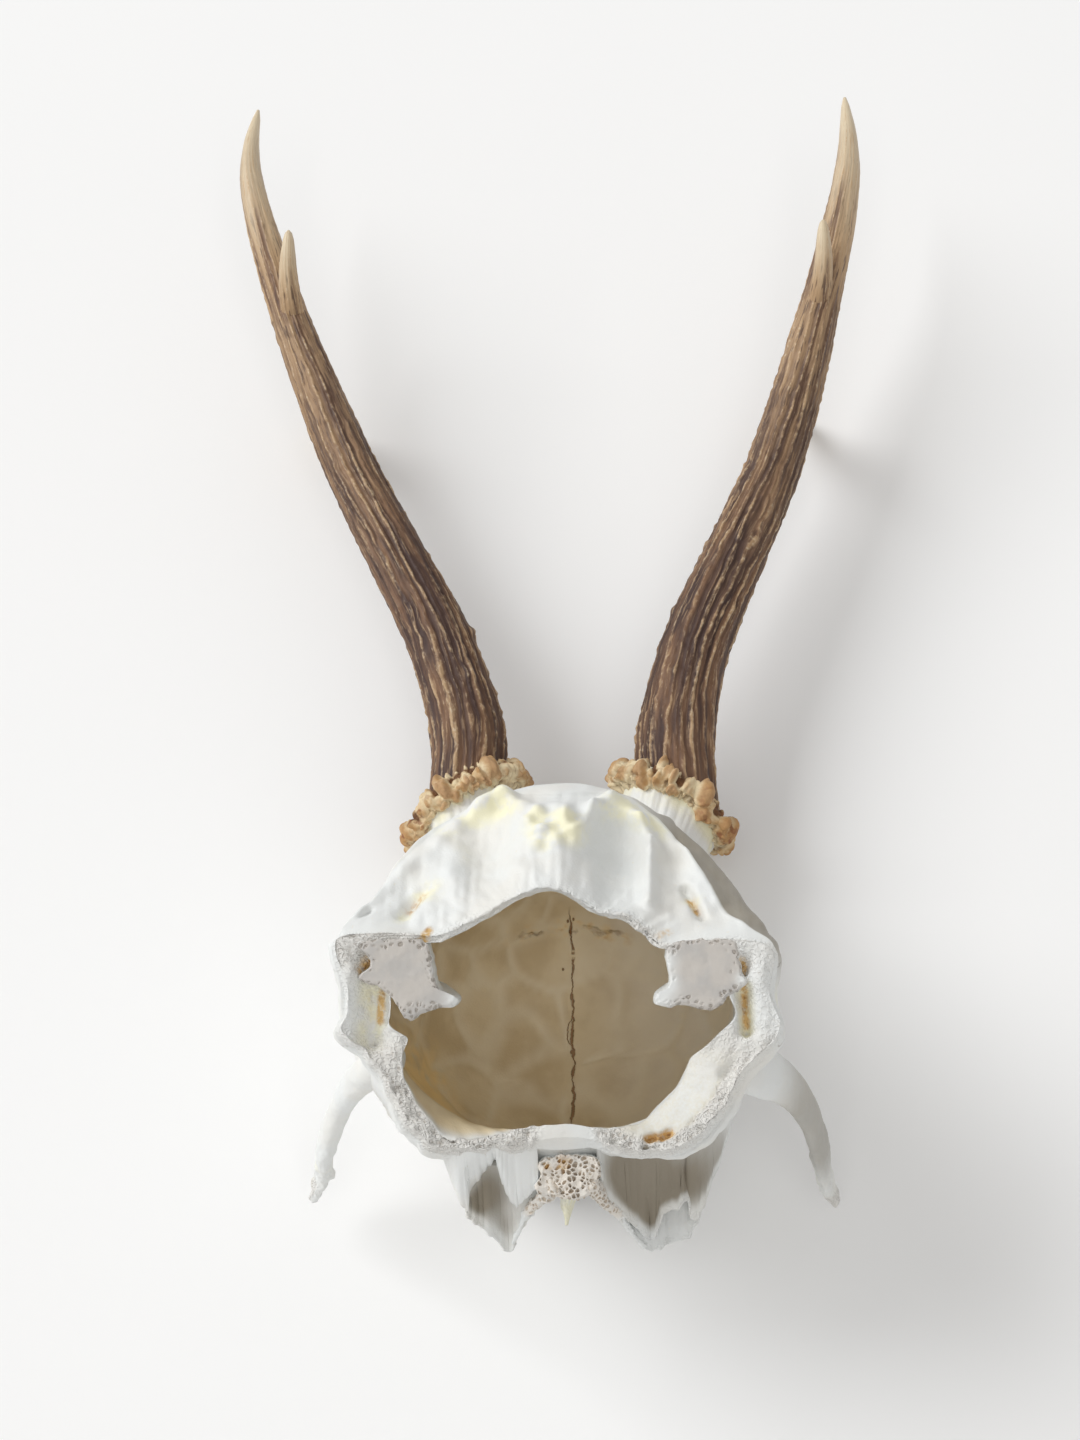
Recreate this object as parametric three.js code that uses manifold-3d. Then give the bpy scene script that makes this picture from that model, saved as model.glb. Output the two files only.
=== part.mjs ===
// A roebuck's skull as it comes from the saw: the braincase, open at the back, with the stumps of
// its cheek bones and a full head of six-point antlers. It lies face down, on the sawn edge of the
// brow and on the tips of the two front tines.
//
// Millimetres. +X is the skull's right, +Y runs from the floor of the braincase through its crown to
// the antler tips, and +Z points out of the back of the head. Every bone is a solid of its own.
import * as THREE from "three";
import { ParametricGeometry } from "three/addons/geometries/ParametricGeometry.js";
import { mergeVertices } from "three/addons/utils/BufferGeometryUtils.js";
import Module from "manifold-3d";

const wasm = await Module();
wasm.setup();

// ---------------------------------------------------------------- driving dimensions
const GAP = 0.3; // left between neighbouring bones
const HALF_GAP = GAP / 2;
const SAW_Z = 58; // the back saw cut's height over the floor of the braincase
const SAW_SLOPE = 0.532; // how fast that cut climbs towards the crown
const SAW_CENTRE_Y = 17; // centre that the cut's outline is measured from
const SQUAMA_THICKNESS = 3.2;
const BROW_LEVEL = 30; // above this y the front saw cut is flat on the table
const FRONT_RISE = 0.31; // below it the broken front lifts off the table at this slope
const FLOOR_SUTURE_Y = 5; // sphenoid below, side walls above
const SQUAMOUS_SUTURE_Y = 38; // temporal below, parietal above
const CORONAL_SUTURE_Z = 30; // frontal in front, parietal and temporal behind
const LAMBDOID = { slope: 0.3125, offset: 78.4 }; // z + slope * y at the occipital's edge
const PETROSAL_DEPTH = 9;
const PLATE_THICKNESS = 1.5;

const AROUND = 50; // facets round the braincase
const BEAM_SIDES = 12;

const BONE = { color: "#ece9df", roughness: 0.6 };
const SAWN_BONE = { color: "#cfc4bb", roughness: 0.8 };
const BURR = { color: "#c9a36a", roughness: 0.65 };
const ANTLER = { color: "#6b4a33", roughness: 0.6 };
const TINE_TIP = { color: "#b9a584", roughness: 0.45 };

// Outline of the saw cut: [degrees from +X round its centre, radius].
const CUT_OUTER = [
  [14, 34.5], [4, 32.8], [-5, 34.2], [-16, 29.8], [-28, 28.6], [-39, 27.2], [-49, 25.2],
  [-71, 18.9], [-90, 17.2], [-116, 20.2], [-138, 26.8], [-148, 27.2], [-165, 28.5],
  [-176, 34.4], [-186, 33.2], [-197, 35.6], [-202, 30], [-210, 21.5], [-232, 17.4],
  [-253, 17], [-268, 17.1], [-291, 15.1], [-306, 16.3], [-320, 17.5], [-333, 19.6], [-341, 29],
];
// Width of the wall that the saw has laid bare, at the same angles.
const CUT_WALL = [
  [12, 6.3], [0, 6], [-7, 9], [-20, 8.4], [-38, 8.2], [-56, 5], [-70, 2.2], [-90, 1.8], [-107, 2.2],
  [-126, 3.6], [-142, 3.8], [-154, 2], [-165, 3.2], [-173, 8], [-185, 6], [-197, 7], [-212, 0.9], [-334, 0.8],
];
// The nuchal crest, where the back of the head turns into its roof and sides: its radius, never
// less than a step outside the saw cut, and how far it lies below the plane of that cut.
const CREST_STEP = 1.2;
const CREST_RADIUS = [
  [14, 35.6], [-10, 26], [-90, 18.9], [-170, 26], [-197, 36], [-213, 35.2], [-232, 37.9], [-245, 40.2],
  [-256, 41], [-270, 38.8], [-284, 40.8], [-295, 39.9], [-308, 37.6], [-327, 34.9], [-340, 35],
];
const CREST_DROP = [
  [16, 1.2], [0, 1.6], [-90, 1.6], [-180, 1.6], [-197, 1.2], [-213, 9], [-232, 18], [-245, 23.5],
  [-256, 24], [-270, 21], [-284, 24.1], [-295, 23.3], [-308, 17.8], [-327, 8.7],
];

// Sections of the braincase from back to front. Each is a rounded ring through a crown and a floor
// point, [y, z], with its half width and the y where it is widest.
const OUTER_SECTIONS = [
  { crown: [61, 58], floor: [-4.4, 47], half: 31.4, side: 22 },
  { crown: [65, 45], floor: [-1.6, 37], half: 31.6, side: 26 },
  { crown: [67.5, 30], floor: [2.4, 26], half: 30, side: 30 },
  { crown: [67.5, 15], floor: [5.8, 16], half: 27, side: 33 },
];
const FRONT_EDGE = { half: 25, crown: 64.5, floor: 8.4, side: 34 };
const FRONT_INNER = { half: 19.5, crown: 54, floor: 12, side: 32 };
const FRONT_RECESS = { crown: [49, 5.4], floor: [14.5, 7.6], half: 14.5, side: 30 };
const FRONT_POLE = new THREE.Vector3(0, 29, 6.2);
const INNER_SECTIONS = [
  { crown: [54.5, 60], floor: [2.4, 50], half: 27.6, side: 22 },
  { crown: [58, 46], floor: [3.6, 38], half: 28.6, side: 26 },
  { crown: [57, 33], floor: [7.2, 27], half: 26.6, side: 29 },
  { crown: [51, 20], floor: [11, 17.5], half: 21.5, side: 30 },
  { crown: [42, 12.8], floor: [16, 12.2], half: 13, side: 29 },
];
const INNER_POLE = new THREE.Vector3(0, 29, 10.4);

// Antlers: the centre line of each beam from burr to tip, and its thickness along that line.
const BEAM_LINE = {
  left: [[-18.1, 79.6, 15.4], [-18, 91.4, 16.4], [-22.8, 109.9, 17.4], [-41.2, 149.7, 18.6],
    [-53.9, 182.5, 23], [-62.1, 210.7, 28.6], [-62.9, 221, 29], [-62.1, 231.4, 28.2]],
  right: [[20.1, 78.7, 15.4], [20.2, 90.5, 16.4], [24, 108.8, 17.4], [39.9, 147.4, 18.6],
    [49.5, 179.2, 23], [56.2, 206.5, 28.6], [57.4, 217.5, 29], [57.4, 230.2, 28.2]],
};
const BEAM_RADIUS = [[0, 7.3], [0.07, 7.1], [0.2, 6.5], [0.35, 5.8], [0.5, 5.1], [0.6, 4.5],
  [0.7, 3.8], [0.8, 3.3], [0.88, 2.6], [0.95, 1.6], [1, 0.35]];
const BEAM_LENGTH = 165;
const BEAM_DEPTH_RATIO = 1.12; // the beam is a little deeper, front to back, than it is wide
const BEAM_START = 0.022; // share of the line hidden in the burr
const FRONT_FORK = 0.53; // shares of the line where the tines leave it
const REAR_FORK = 0.7;
const FRONT_TINE_TIP_Y = 13; // how far past its fork the front tine's tip lies
const FRONT_TINE_RADIUS = 4.1;
const REAR_TINE_TIP = { left: [-53.2, 195.6, 35.4], right: [51, 194.6, 35.4] };
const REAR_TINE_RADIUS = 3.3;

const BURR_RADIUS = 11.4;
const BURR_HALF_HEIGHT = 3;
const BURR_LOBES = 12;
const BURR_CENTRE = { left: [-18.6, 79, 15.4], right: [18.9, 78.4, 15.4] };
const BURR_TILT = { left: 28, right: -27 }; // degrees, so that the outer side hangs lower
const PEDICLE_ROOT = [[13.5, 52, 19], [15.5, 63, 17.5]]; // points of its middle, below the burr
const PEDICLE_RADIUS = [[0, 5], [0.3, 8.6], [0.6, 7.4], [0.85, 7.2], [1, 8]];

const ARCH_LINE = {
  left: [[-29.4, 13.6, 53], [-31.6, 13.6, 47], [-34.7, 13.9, 40], [-38, 13.6, 30], [-40.7, 11.7, 22],
    [-42.4, 9.2, 14], [-44.4, 6.9, 8.4]],
  right: [[29.6, 13, 53], [32, 13.4, 47], [35.6, 13.7, 40], [39.3, 12.9, 30], [41.6, 10, 22],
    [43.2, 7.1, 14], [45.3, 4.4, 8.6]],
};
const ARCH_HALF_HEIGHT = [[0, 6.2], [0.25, 5], [0.6, 3.9], [0.85, 3.4], [1, 1]];
const ARCH_HALF_THICKNESS = [[0, 3], [0.25, 2.1], [0.6, 1.7], [0.85, 1.6], [1, 0.7]];

// Plan of each pterygoid plate, [x, z], from its root at the floor to the torn free edge.
const PLATE_ROOT = { y: -1.5, z: 50, drop: 0.42 }; // it falls by drop for each mm forwards
const PLATE_PLAN = {
  left: [[-18.6, 48], [-17.8, 43], [-15.8, 39.5], [-13.2, 36.4], [-11.2, 33.2], [-9.4, 31.2],
    [-8.2, 33], [-6.8, 35.6], [-4.6, 38.4], [-2.6, 40.4], [-2.2, 48]],
  right: [[26, 49], [24.2, 42.5], [21.8, 36.8], [19.2, 34.6], [18.2, 36.2], [16.8, 33.4],
    [13, 31.2], [11.4, 33.4], [9.4, 36.4], [7, 39.2], [4.4, 40.8], [3.4, 48]],
};
// The sawn block of the basisphenoid, which the saw met a little below the rest of the cut.
const BLOCK = { back: [0.7, -4.8, 58], front: [0.7, -1.6, 36], step: 2 };
const BLOCK_HALF_WIDTH = [[0, 3.2], [1, 4.8]];
const BLOCK_HALF_HEIGHT = [[0, 1.2], [1, 3.3]];
// The vomer's stump under that block, [z, y].
const VOMER = [[46, -6.4], [37, -3.6], [38, -5.8], [42, -8], [45, -9.4]];

// Outline of each sawn ear bone (petrosal) in the plane of the cut, [x, y].
const PETROSAL_PLAN = {
  left: [[-30.6, 26.6], [-20.4, 26.6], [-18.6, 22.8], [-18.2, 20.4], [-15.6, 19], [-16.2, 18.2],
    [-19.8, 17.7], [-23.6, 16.2], [-25.4, 17.6], [-29.8, 20.4], [-28.6, 22.4]],
  right: [[30.2, 25.8], [20.4, 25.8], [18, 22.6], [17.6, 20.2], [15.4, 19.2], [15.3, 18.1],
    [17.4, 17.4], [24, 16.9], [25, 18.2], [28.6, 19.9], [28.4, 22.6]],
};

// ---------------------------------------------------------------- helpers
const SIDES = ["left", "right"];
const UP = new THREE.Vector3(0, 1, 0);
const point = (xyz) => new THREE.Vector3(...xyz);
const radians = THREE.MathUtils.degToRad;

// Straight-line reading of a table of [place, value] pairs, in order of place.
function along(table, place) {
  const next = table.findIndex(([at]) => at >= place);
  if (next === -1) return table.at(-1)[1];
  if (next === 0) return table[0][1];
  const [[a, low], [b, high]] = [table[next - 1], table[next]];
  return low + ((high - low) * (place - a)) / (b - a);
}

// Reading of an outline table that runs once round in degrees, smoothed between its entries.
function around(table, theta) {
  const turn = THREE.MathUtils.euclideanModulo(table[0][0] - THREE.MathUtils.radToDeg(theta), 360);
  const steps = table.map(([at, value]) => [table[0][0] - at, value]);
  const before = steps.findLastIndex(([at]) => at <= turn);
  const wrap = (i) => {
    const lap = Math.floor(i / steps.length);
    const [at, value] = steps[i - lap * steps.length];
    return [at + 360 * lap, value];
  };
  const [p, q, r, s] = [-1, 0, 1, 2].map((k) => wrap(before + k));
  const t = (turn - q[0]) / (r[0] - q[0]);
  const leaving = ((r[1] - p[1]) / (r[0] - p[0])) * (r[0] - q[0]);
  const arriving = ((s[1] - q[1]) / (s[0] - q[0])) * (r[0] - q[0]);
  const t2 = t * t;
  const t3 = t2 * t;
  return q[1] * (2 * t3 - 3 * t2 + 1) + leaving * (t3 - 2 * t2 + t)
    + r[1] * (3 * t2 - 2 * t3) + arriving * (t3 - t2);
}

// A rounded ring's point at an angle: a section of the braincase.
function ring({ crown, floor, half, side }, theta) {
  const [c, s] = [Math.cos(theta), Math.sin(theta)];
  const y = side + s * (s > 0 ? crown[0] - side : side - floor[0]);
  const z = floor[1] + ((crown[1] - floor[1]) * (y - floor[0])) / (crown[0] - floor[0]);
  return new THREE.Vector3(half * c, y, z);
}

// Turns a three.js geometry into a solid that can be cut, with its faces outwards.
function solid(geometry) {
  const bare = geometry.index ? geometry.toNonIndexed() : geometry.clone();
  bare.deleteAttribute("normal");
  bare.deleteAttribute("uv");
  const merged = mergeVertices(bare, 1e-3);
  const corners = merged.index.array;
  const kept = [];
  for (let i = 0; i < corners.length; i += 3) {
    const [a, b, c] = corners.subarray(i, i + 3);
    if (a !== b && b !== c && c !== a) kept.push(a, b, c);
  }
  const make = (triVerts) => new wasm.Manifold(new wasm.Mesh({
    numProp: 3,
    vertProperties: merged.attributes.position.array,
    triVerts: Uint32Array.from(triVerts),
  }));
  const made = make(kept);
  return made.volume() > 0 ? made : make(kept.reverse());
}

// A closed surface of rows of points: rows(theta) lists one meridian, from pole to pole.
function meridianSolid(rows, turns) {
  const count = rows(0).length - 1;
  const lines = new Map();
  const geometry = new ParametricGeometry((u, v, target) => {
    if (!lines.has(v)) lines.set(v, rows(2 * Math.PI * (v % 1)));
    target.copy(lines.get(v)[Math.round(u * count)]);
  }, count, turns);
  return solid(geometry);
}

// A tube along a curve whose section is an ellipse: size(t) gives its two half axes, the first
// across up and the second along it. Its ends come to a point at the curve's own ends.
function sweep(curve, size, up, sides, steps) {
  const [first, last] = [curve.getPointAt(0), curve.getPointAt(1)];
  const rings = Array.from({ length: steps + 1 }, (_, k) => {
    const t = k / steps;
    const ahead = curve.getTangentAt(t);
    const across = new THREE.Vector3().crossVectors(ahead, up).normalize();
    const raised = new THREE.Vector3().crossVectors(across, ahead);
    return { at: curve.getPointAt(t), across, raised, size: size(t) };
  });
  return meridianSolid((theta) => [
    first,
    ...rings.map(({ at, across, raised, size: [a, b] }) => at.clone()
      .addScaledVector(across, a * Math.cos(theta))
      .addScaledVector(raised, b * Math.sin(theta))),
    last,
  ], sides);
}

// An outline pushed straight up by a thickness, then leaned over by a matrix.
function slab(outline, thickness, matrix) {
  const shape = new THREE.Shape(outline.map(([a, b]) => new THREE.Vector2(a, b)));
  const geometry = new THREE.ExtrudeGeometry(shape, { depth: thickness, bevelEnabled: false });
  return solid(geometry.applyMatrix4(matrix));
}

// piece, cut back from a neighbour so that the gap is left on the sides that the directions face.
function clearOf(piece, neighbour, ...directions) {
  return directions.reduce(
    (rest, way) => rest.subtract(neighbour.translate(way.map((n) => n * GAP))),
    piece.subtract(neighbour),
  );
}

// The largest body of a solid: cuts can leave crumbs behind.
const whole = (made) => made.decompose().sort((a, b) => b.volume() - a.volume())[0];

const parts = new THREE.Group();

function add(name, made, finish) {
  const body = whole(made);
  const { vertProperties, triVerts } = body.getMesh();
  const geometry = new THREE.BufferGeometry();
  geometry.setAttribute("position", new THREE.BufferAttribute(vertProperties, 3));
  geometry.setIndex(new THREE.BufferAttribute(triVerts, 1));
  const mesh = new THREE.Mesh(geometry, new THREE.MeshStandardMaterial({ ...finish, metalness: 0 }));
  mesh.name = name;
  parts.add(mesh);
  return body;
}

// ---------------------------------------------------------------- the braincase
const sawPlane = (y) => SAW_Z + SAW_SLOPE * y;

function cutPoint(radius, theta, drop) {
  const y = SAW_CENTRE_Y + radius * Math.sin(theta);
  return new THREE.Vector3(radius * Math.cos(theta), y, sawPlane(y) - drop);
}

// The back of the head carries a knob in the middle, under the crest, and a hollow on each side.
function squamaRelief(x, y) {
  const knob = 3.4 * Math.exp(-((x / 6) ** 2) - ((y - 48) / 5) ** 2);
  const hollow = 2.6 * Math.exp(-(((Math.abs(x) - 11.5) / 6) ** 2) - ((y - 42) / 8) ** 2);
  return knob - hollow;
}

// The front saw cut: flat on the table at the brow, lifting towards the broken floor.
function frontRing({ half, crown, floor, side }, theta) {
  const at = ring({ half, side, crown: [crown, 0], floor: [floor, 0] }, theta);
  at.z = Math.max(0, FRONT_RISE * (BROW_LEVEL - at.y));
  return at;
}

// One meridian of the braincase, from the front wall's inside, out over the saw cut, and back
// along the outside to the broken front.
function braincaseRows(theta) {
  const overhead = Math.max(0, Math.sin(theta)) ** 2;
  const edge = around(CUT_OUTER, theta);
  const innerEdge = cutPoint(edge - around(CUT_WALL, theta), theta, SQUAMA_THICKNESS * overhead);
  const outerEdge = cutPoint(edge, theta, 0);
  const crestRadius = Math.max(edge + CREST_STEP, around(CREST_RADIUS, theta));
  const crest = cutPoint(crestRadius, theta, around(CREST_DROP, theta));
  const inside = new THREE.CatmullRomCurve3([
    INNER_POLE, ...INNER_SECTIONS.toReversed().map((s) => ring(s, theta)), innerEdge]);
  const outside = new THREE.CatmullRomCurve3([
    crest, ...OUTER_SECTIONS.map((s) => ring(s, theta)), frontRing(FRONT_EDGE, theta)]);
  const squama = [1 / 4, 1 / 2, 3 / 4].map((t) => {
    const at = outerEdge.clone().lerp(crest, t);
    at.z += squamaRelief(at.x, at.y) * Math.min(1, outerEdge.distanceTo(crest) / 8);
    return at;
  });
  return [...inside.getPoints(8), outerEdge, ...squama, ...outside.getPoints(8),
    frontRing(FRONT_INNER, theta), ring(FRONT_RECESS, theta), FRONT_POLE];
}

const braincase = meridianSolid(braincaseRows, AROUND);

// The sutures are thin plane cuts: each keeps what lies past the plane normal . p = offset.
const past = (made, normal, offset) => made.trimByPlane(normal, offset);
const lambdoid = [0, LAMBDOID.slope, 1];
const lambdoidLength = Math.hypot(...lambdoid);
const lambdoidUnit = lambdoid.map((n) => n / lambdoidLength);
const lambdoidAt = LAMBDOID.offset / lambdoidLength;
const facing = (unit) => unit.map((n) => -n);

add("occipital", past(braincase, lambdoidUnit, lambdoidAt + HALF_GAP), BONE);
const forward = past(braincase, facing(lambdoidUnit), -lambdoidAt + HALF_GAP);
add("sphenoid", past(forward, [0, -1, 0], -FLOOR_SUTURE_Y + HALF_GAP), BONE);
const upper = past(forward, [0, 1, 0], FLOOR_SUTURE_Y + HALF_GAP);
const rear = past(upper, [0, 0, 1], CORONAL_SUTURE_Z + HALF_GAP);
const brow = past(upper, [0, 0, -1], -CORONAL_SUTURE_Z + HALF_GAP);
add("parietal", past(rear, [0, 1, 0], SQUAMOUS_SUTURE_Y + HALF_GAP), BONE);
const flanks = past(rear, [0, -1, 0], -SQUAMOUS_SUTURE_Y + HALF_GAP);
for (const side of SIDES) {
  const out = side === "left" ? -1 : 1;
  add(`temporal_${side}`, past(flanks, [out, 0, 0], HALF_GAP), BONE);
  add(`frontal_${side}`, past(brow, [out, 0, 0], HALF_GAP), BONE);
}

// ---------------------------------------------------------------- ear bones, floor and cheek stumps
function petrosal(side) {
  const lean = new THREE.Matrix4().set(
    1, 0, 0, 0,
    0, 1, 0, 0,
    0, SAW_SLOPE, 1, SAW_Z - PETROSAL_DEPTH,
    0, 0, 0, 1);
  return slab(PETROSAL_PLAN[side], PETROSAL_DEPTH, lean);
}

// The plan is drawn in x and z, its thickness is y, and it falls away towards the front.
function pterygoidPlate(side) {
  const { y, z, drop } = PLATE_ROOT;
  const lean = new THREE.Matrix4().set(
    1, 0, 0, 0,
    0, drop, -1, y - drop * z,
    0, 1, 0, 0,
    0, 0, 0, 1);
  return slab(PLATE_PLAN[side], PLATE_THICKNESS, lean);
}

function sphenoidBlock() {
  const line = new THREE.LineCurve3(point(BLOCK.front), point(BLOCK.back));
  const size = (t) => [along(BLOCK_HALF_WIDTH, t), along(BLOCK_HALF_HEIGHT, t)];
  const saw = Math.hypot(1, SAW_SLOPE);
  return sweep(line, size, UP, 12, 3)
    .trimByPlane([0, SAW_SLOPE / saw, -1 / saw], -(SAW_Z - BLOCK.step) / saw);
}

function vomer() {
  const upright = new THREE.Matrix4().set(
    0, 0, 1, BLOCK.front[0] - PLATE_THICKNESS / 2,
    0, 1, 0, 0,
    1, 0, 0, 0,
    0, 0, 0, 1);
  return slab(VOMER, PLATE_THICKNESS, upright);
}

function cheekArch(side) {
  const line = new THREE.CatmullRomCurve3(ARCH_LINE[side].map(point));
  const size = (t) => [along(ARCH_HALF_THICKNESS, t), along(ARCH_HALF_HEIGHT, t)];
  return sweep(line, size, UP, 10, 9);
}

const DOWN = [0, -1, 0];
const block = add("basisphenoid", clearOf(sphenoidBlock(), braincase, DOWN), SAWN_BONE);
add("vomer", vomer(), BONE);
for (const side of SIDES) {
  const out = side === "left" ? -1 : 1;
  const plate = clearOf(clearOf(pterygoidPlate(side), braincase, DOWN), block, [out, 0, 0], DOWN);
  add(`petrosal_${side}`, clearOf(petrosal(side), braincase, [-out, 0, 0], DOWN), SAWN_BONE);
  add(`pterygoid_${side}`, plate, BONE);
  add(`zygomatic_arch_${side}`, clearOf(cheekArch(side), braincase, [out, 0, 0]), BONE);
}

// ---------------------------------------------------------------- pedicles, burrs and antlers
const TOWARDS_BACK = new THREE.Vector3(0, 0, 1);

function pedicle(side) {
  const out = side === "left" ? -1 : 1;
  const root = PEDICLE_ROOT.map(([x, y, z]) => new THREE.Vector3(out * x, y, z));
  const line = new THREE.CatmullRomCurve3([...root, point(BURR_CENTRE[side])]);
  const size = (t) => [along(PEDICLE_RADIUS, t), along(PEDICLE_RADIUS, t)];
  return sweep(line, size, TOWARDS_BACK, 12, 5);
}

// The burr is a thick disc with a wreath of knobs round its rim.
function burr(side) {
  const tilt = new THREE.Matrix4().makeRotationZ(radians(BURR_TILT[side]))
    .setPosition(point(BURR_CENTRE[side]));
  const profile = [[0, -1], [0.62, -0.95], [0.88, -0.7], [1, 0], [0.88, 0.8], [0.62, 1], [0, 1]];
  return meridianSolid((theta) => profile.map(([share, height]) => {
    const knob = share > 0.7 ? 0.1 * Math.cos(BURR_LOBES * theta) + 0.05 * Math.sin(5 * theta) : 0;
    const radius = BURR_RADIUS * share * (1 + knob);
    const [x, z] = [radius * Math.cos(theta), radius * Math.sin(theta)];
    return new THREE.Vector3(x, BURR_HALF_HEIGHT * height, z).applyMatrix4(tilt);
  }), 3 * BURR_LOBES);
}

// One stretch of the beam between two shares of its centre line.
function beamStretch(side, from, to, steps) {
  const line = new THREE.CatmullRomCurve3(BEAM_LINE[side].map(point));
  const stretch = new THREE.CatmullRomCurve3(
    Array.from({ length: steps + 1 }, (_, k) => line.getPointAt(from + ((to - from) * k) / steps)));
  const size = (t) => {
    const radius = along(BEAM_RADIUS, from + (to - from) * t);
    return [radius, radius * BEAM_DEPTH_RATIO];
  };
  return sweep(stretch, size, TOWARDS_BACK, BEAM_SIDES, steps);
}

function tine(from, bend, tip, radius) {
  const line = new THREE.CatmullRomCurve3([from, bend, tip]);
  const size = (t) => [radius * (1 - 0.9 * t ** 1.6), radius * (1 - 0.9 * t ** 1.6)];
  return sweep(line, size, new THREE.Vector3(1, 0, 0), 10, 5);
}

// It leaves the beam's front face and turns up a little; its tip is just flattened by the table.
function frontTine(side) {
  const line = new THREE.CatmullRomCurve3(BEAM_LINE[side].map(point));
  const from = line.getPointAt(FRONT_FORK);
  const ahead = line.getTangentAt(FRONT_FORK);
  const bend = from.clone().addScaledVector(ahead, 5);
  bend.z *= 0.56;
  const tip = from.clone().addScaledVector(ahead, FRONT_TINE_TIP_Y);
  tip.z = -0.8;
  return past(tine(from, bend, tip, FRONT_TINE_RADIUS), [0, 0, 1], 0);
}

function rearTine(side) {
  const line = new THREE.CatmullRomCurve3(BEAM_LINE[side].map(point));
  const from = line.getPointAt(REAR_FORK - 0.03);
  const tip = point(REAR_TINE_TIP[side]);
  const bend = from.clone().lerp(tip, 0.55).add(new THREE.Vector3(0, -1.2, 0.8));
  return tine(from, bend, tip, REAR_TINE_RADIUS);
}

for (const side of SIDES) {
  const away = [0, 1, 0];
  const out = side === "left" ? -1 : 1;
  const wreath = burr(side);
  const stalk = clearOf(pedicle(side), braincase, away);
  const share = HALF_GAP / BEAM_LENGTH;
  const lower = clearOf(beamStretch(side, BEAM_START, FRONT_FORK - share, 12), wreath, away);
  const upperBeam = beamStretch(side, FRONT_FORK + share, REAR_FORK - share, 5);
  const top = beamStretch(side, REAR_FORK + share, 1, 8);
  const front = clearOf(clearOf(frontTine(side), lower, [0, 0, -1], away), upperBeam, [0, 0, -1]);
  const back = clearOf(clearOf(rearTine(side), upperBeam, [0, 0, 1]), top, [0, 0, 1], [-out, 0, 0]);
  add(`pedicle_${side}`, clearOf(stalk, wreath, DOWN), BONE);
  add(`burr_${side}`, wreath, BURR);
  add(`beam_${side}`, lower, ANTLER);
  add(`upper_beam_${side}`, upperBeam, ANTLER);
  add(`top_tine_${side}`, top, TINE_TIP);
  add(`front_tine_${side}`, front, TINE_TIP);
  add(`rear_tine_${side}`, back, TINE_TIP);
}

// The part's origin is the centre of the rectangle it covers on the table.
const box = new THREE.Box3().setFromObject(parts);
parts.position.set(-(box.min.x + box.max.x) / 2, -(box.min.y + box.max.y) / 2, -box.min.z);

const skull = new THREE.Group();
skull.add(parts);
export default skull;
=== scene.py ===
# %% [markdown]
# # A roe deer skull, sawn open at the back
# A museum shows a roebuck's skull as bare bone: a white braincase, two rough burrs and two brown
# antlers. It lies face down here, so its open back faces the camera. Every piece is one surface
# worked out with numpy, and every finish is made of masks and colours in shader nodes.
# The first cell loads the CAD model as a fixed frame. Nothing is fitted by eye: whatever is made
# here is placed in that frame.

# %% Tools and the frame
import math

import bpy
import numpy as np
from mathutils import Matrix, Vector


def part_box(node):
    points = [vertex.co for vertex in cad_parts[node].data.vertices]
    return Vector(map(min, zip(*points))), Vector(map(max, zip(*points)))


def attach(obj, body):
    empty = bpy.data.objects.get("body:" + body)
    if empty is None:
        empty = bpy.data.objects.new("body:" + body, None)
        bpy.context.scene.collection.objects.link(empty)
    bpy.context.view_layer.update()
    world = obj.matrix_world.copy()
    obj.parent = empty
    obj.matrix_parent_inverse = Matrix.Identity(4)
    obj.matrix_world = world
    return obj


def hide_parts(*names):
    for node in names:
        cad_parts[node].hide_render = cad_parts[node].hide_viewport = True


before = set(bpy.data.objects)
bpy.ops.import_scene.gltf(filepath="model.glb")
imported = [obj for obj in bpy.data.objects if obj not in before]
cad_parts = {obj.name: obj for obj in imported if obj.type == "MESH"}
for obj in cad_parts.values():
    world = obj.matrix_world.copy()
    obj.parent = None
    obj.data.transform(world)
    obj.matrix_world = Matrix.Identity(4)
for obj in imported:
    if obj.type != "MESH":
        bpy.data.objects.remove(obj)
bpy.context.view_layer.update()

# %% [markdown]
# ## One set of millimetres
# The bones were measured in skull millimetres: x to the animal's right, y from the floor of the
# braincase to the antler tips, z out of the back of the head. The joint between the two frontal
# bones is x = 0, and the joint over the sphenoid is y = 5. Both are found on the CAD bones, so the
# pieces land where the CAD says.

# %% Skull millimetres to metres
MM = 0.001
HALF_GAP = 0.00015
FLOOR_SUTURE_Y = 5
ORIGIN = np.array([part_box("frontal_left")[1].x + HALF_GAP,
                   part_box("sphenoid")[1].y + HALF_GAP - FLOOR_SUTURE_Y * MM, 0.0])
print("skull origin in mm:", np.round(ORIGIN / MM, 2).tolist())

# %% [markdown]
# ## Noise, the grain of everything that grew
# Bone and antler are never even. Two kinds of noise give nearly all their detail. Value noise
# blends random numbers kept on a lattice, and cell noise measures how far the nearest scattered
# points are, which draws the walls and holes of sponge. A fixed seed gives the same skull each
# run.

# %% Two kinds of noise
LATTICE = 32
CELL_LATTICE = 16


def noise(points, cell, seed):
    """Value noise from -1 to 1: random corners of a lattice of this cell size, blended by the
    smooth step 3f^2 - 2f^3 of the place f inside the cell, along each axis in turn."""
    table = 2 * np.random.default_rng(seed).random((LATTICE,) * 3) - 1
    at = points / cell
    base = np.floor(at).astype(int)
    f = at - base
    f = f * f * (3 - 2 * f)
    total = np.zeros(at.shape[:-1])
    for corner in np.ndindex(2, 2, 2):
        weight = np.where(np.array(corner) == 1, f, 1 - f).prod(-1)
        total += weight * table[tuple(np.moveaxis((base + corner) % LATTICE, -1, 0))]
    return total


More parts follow.
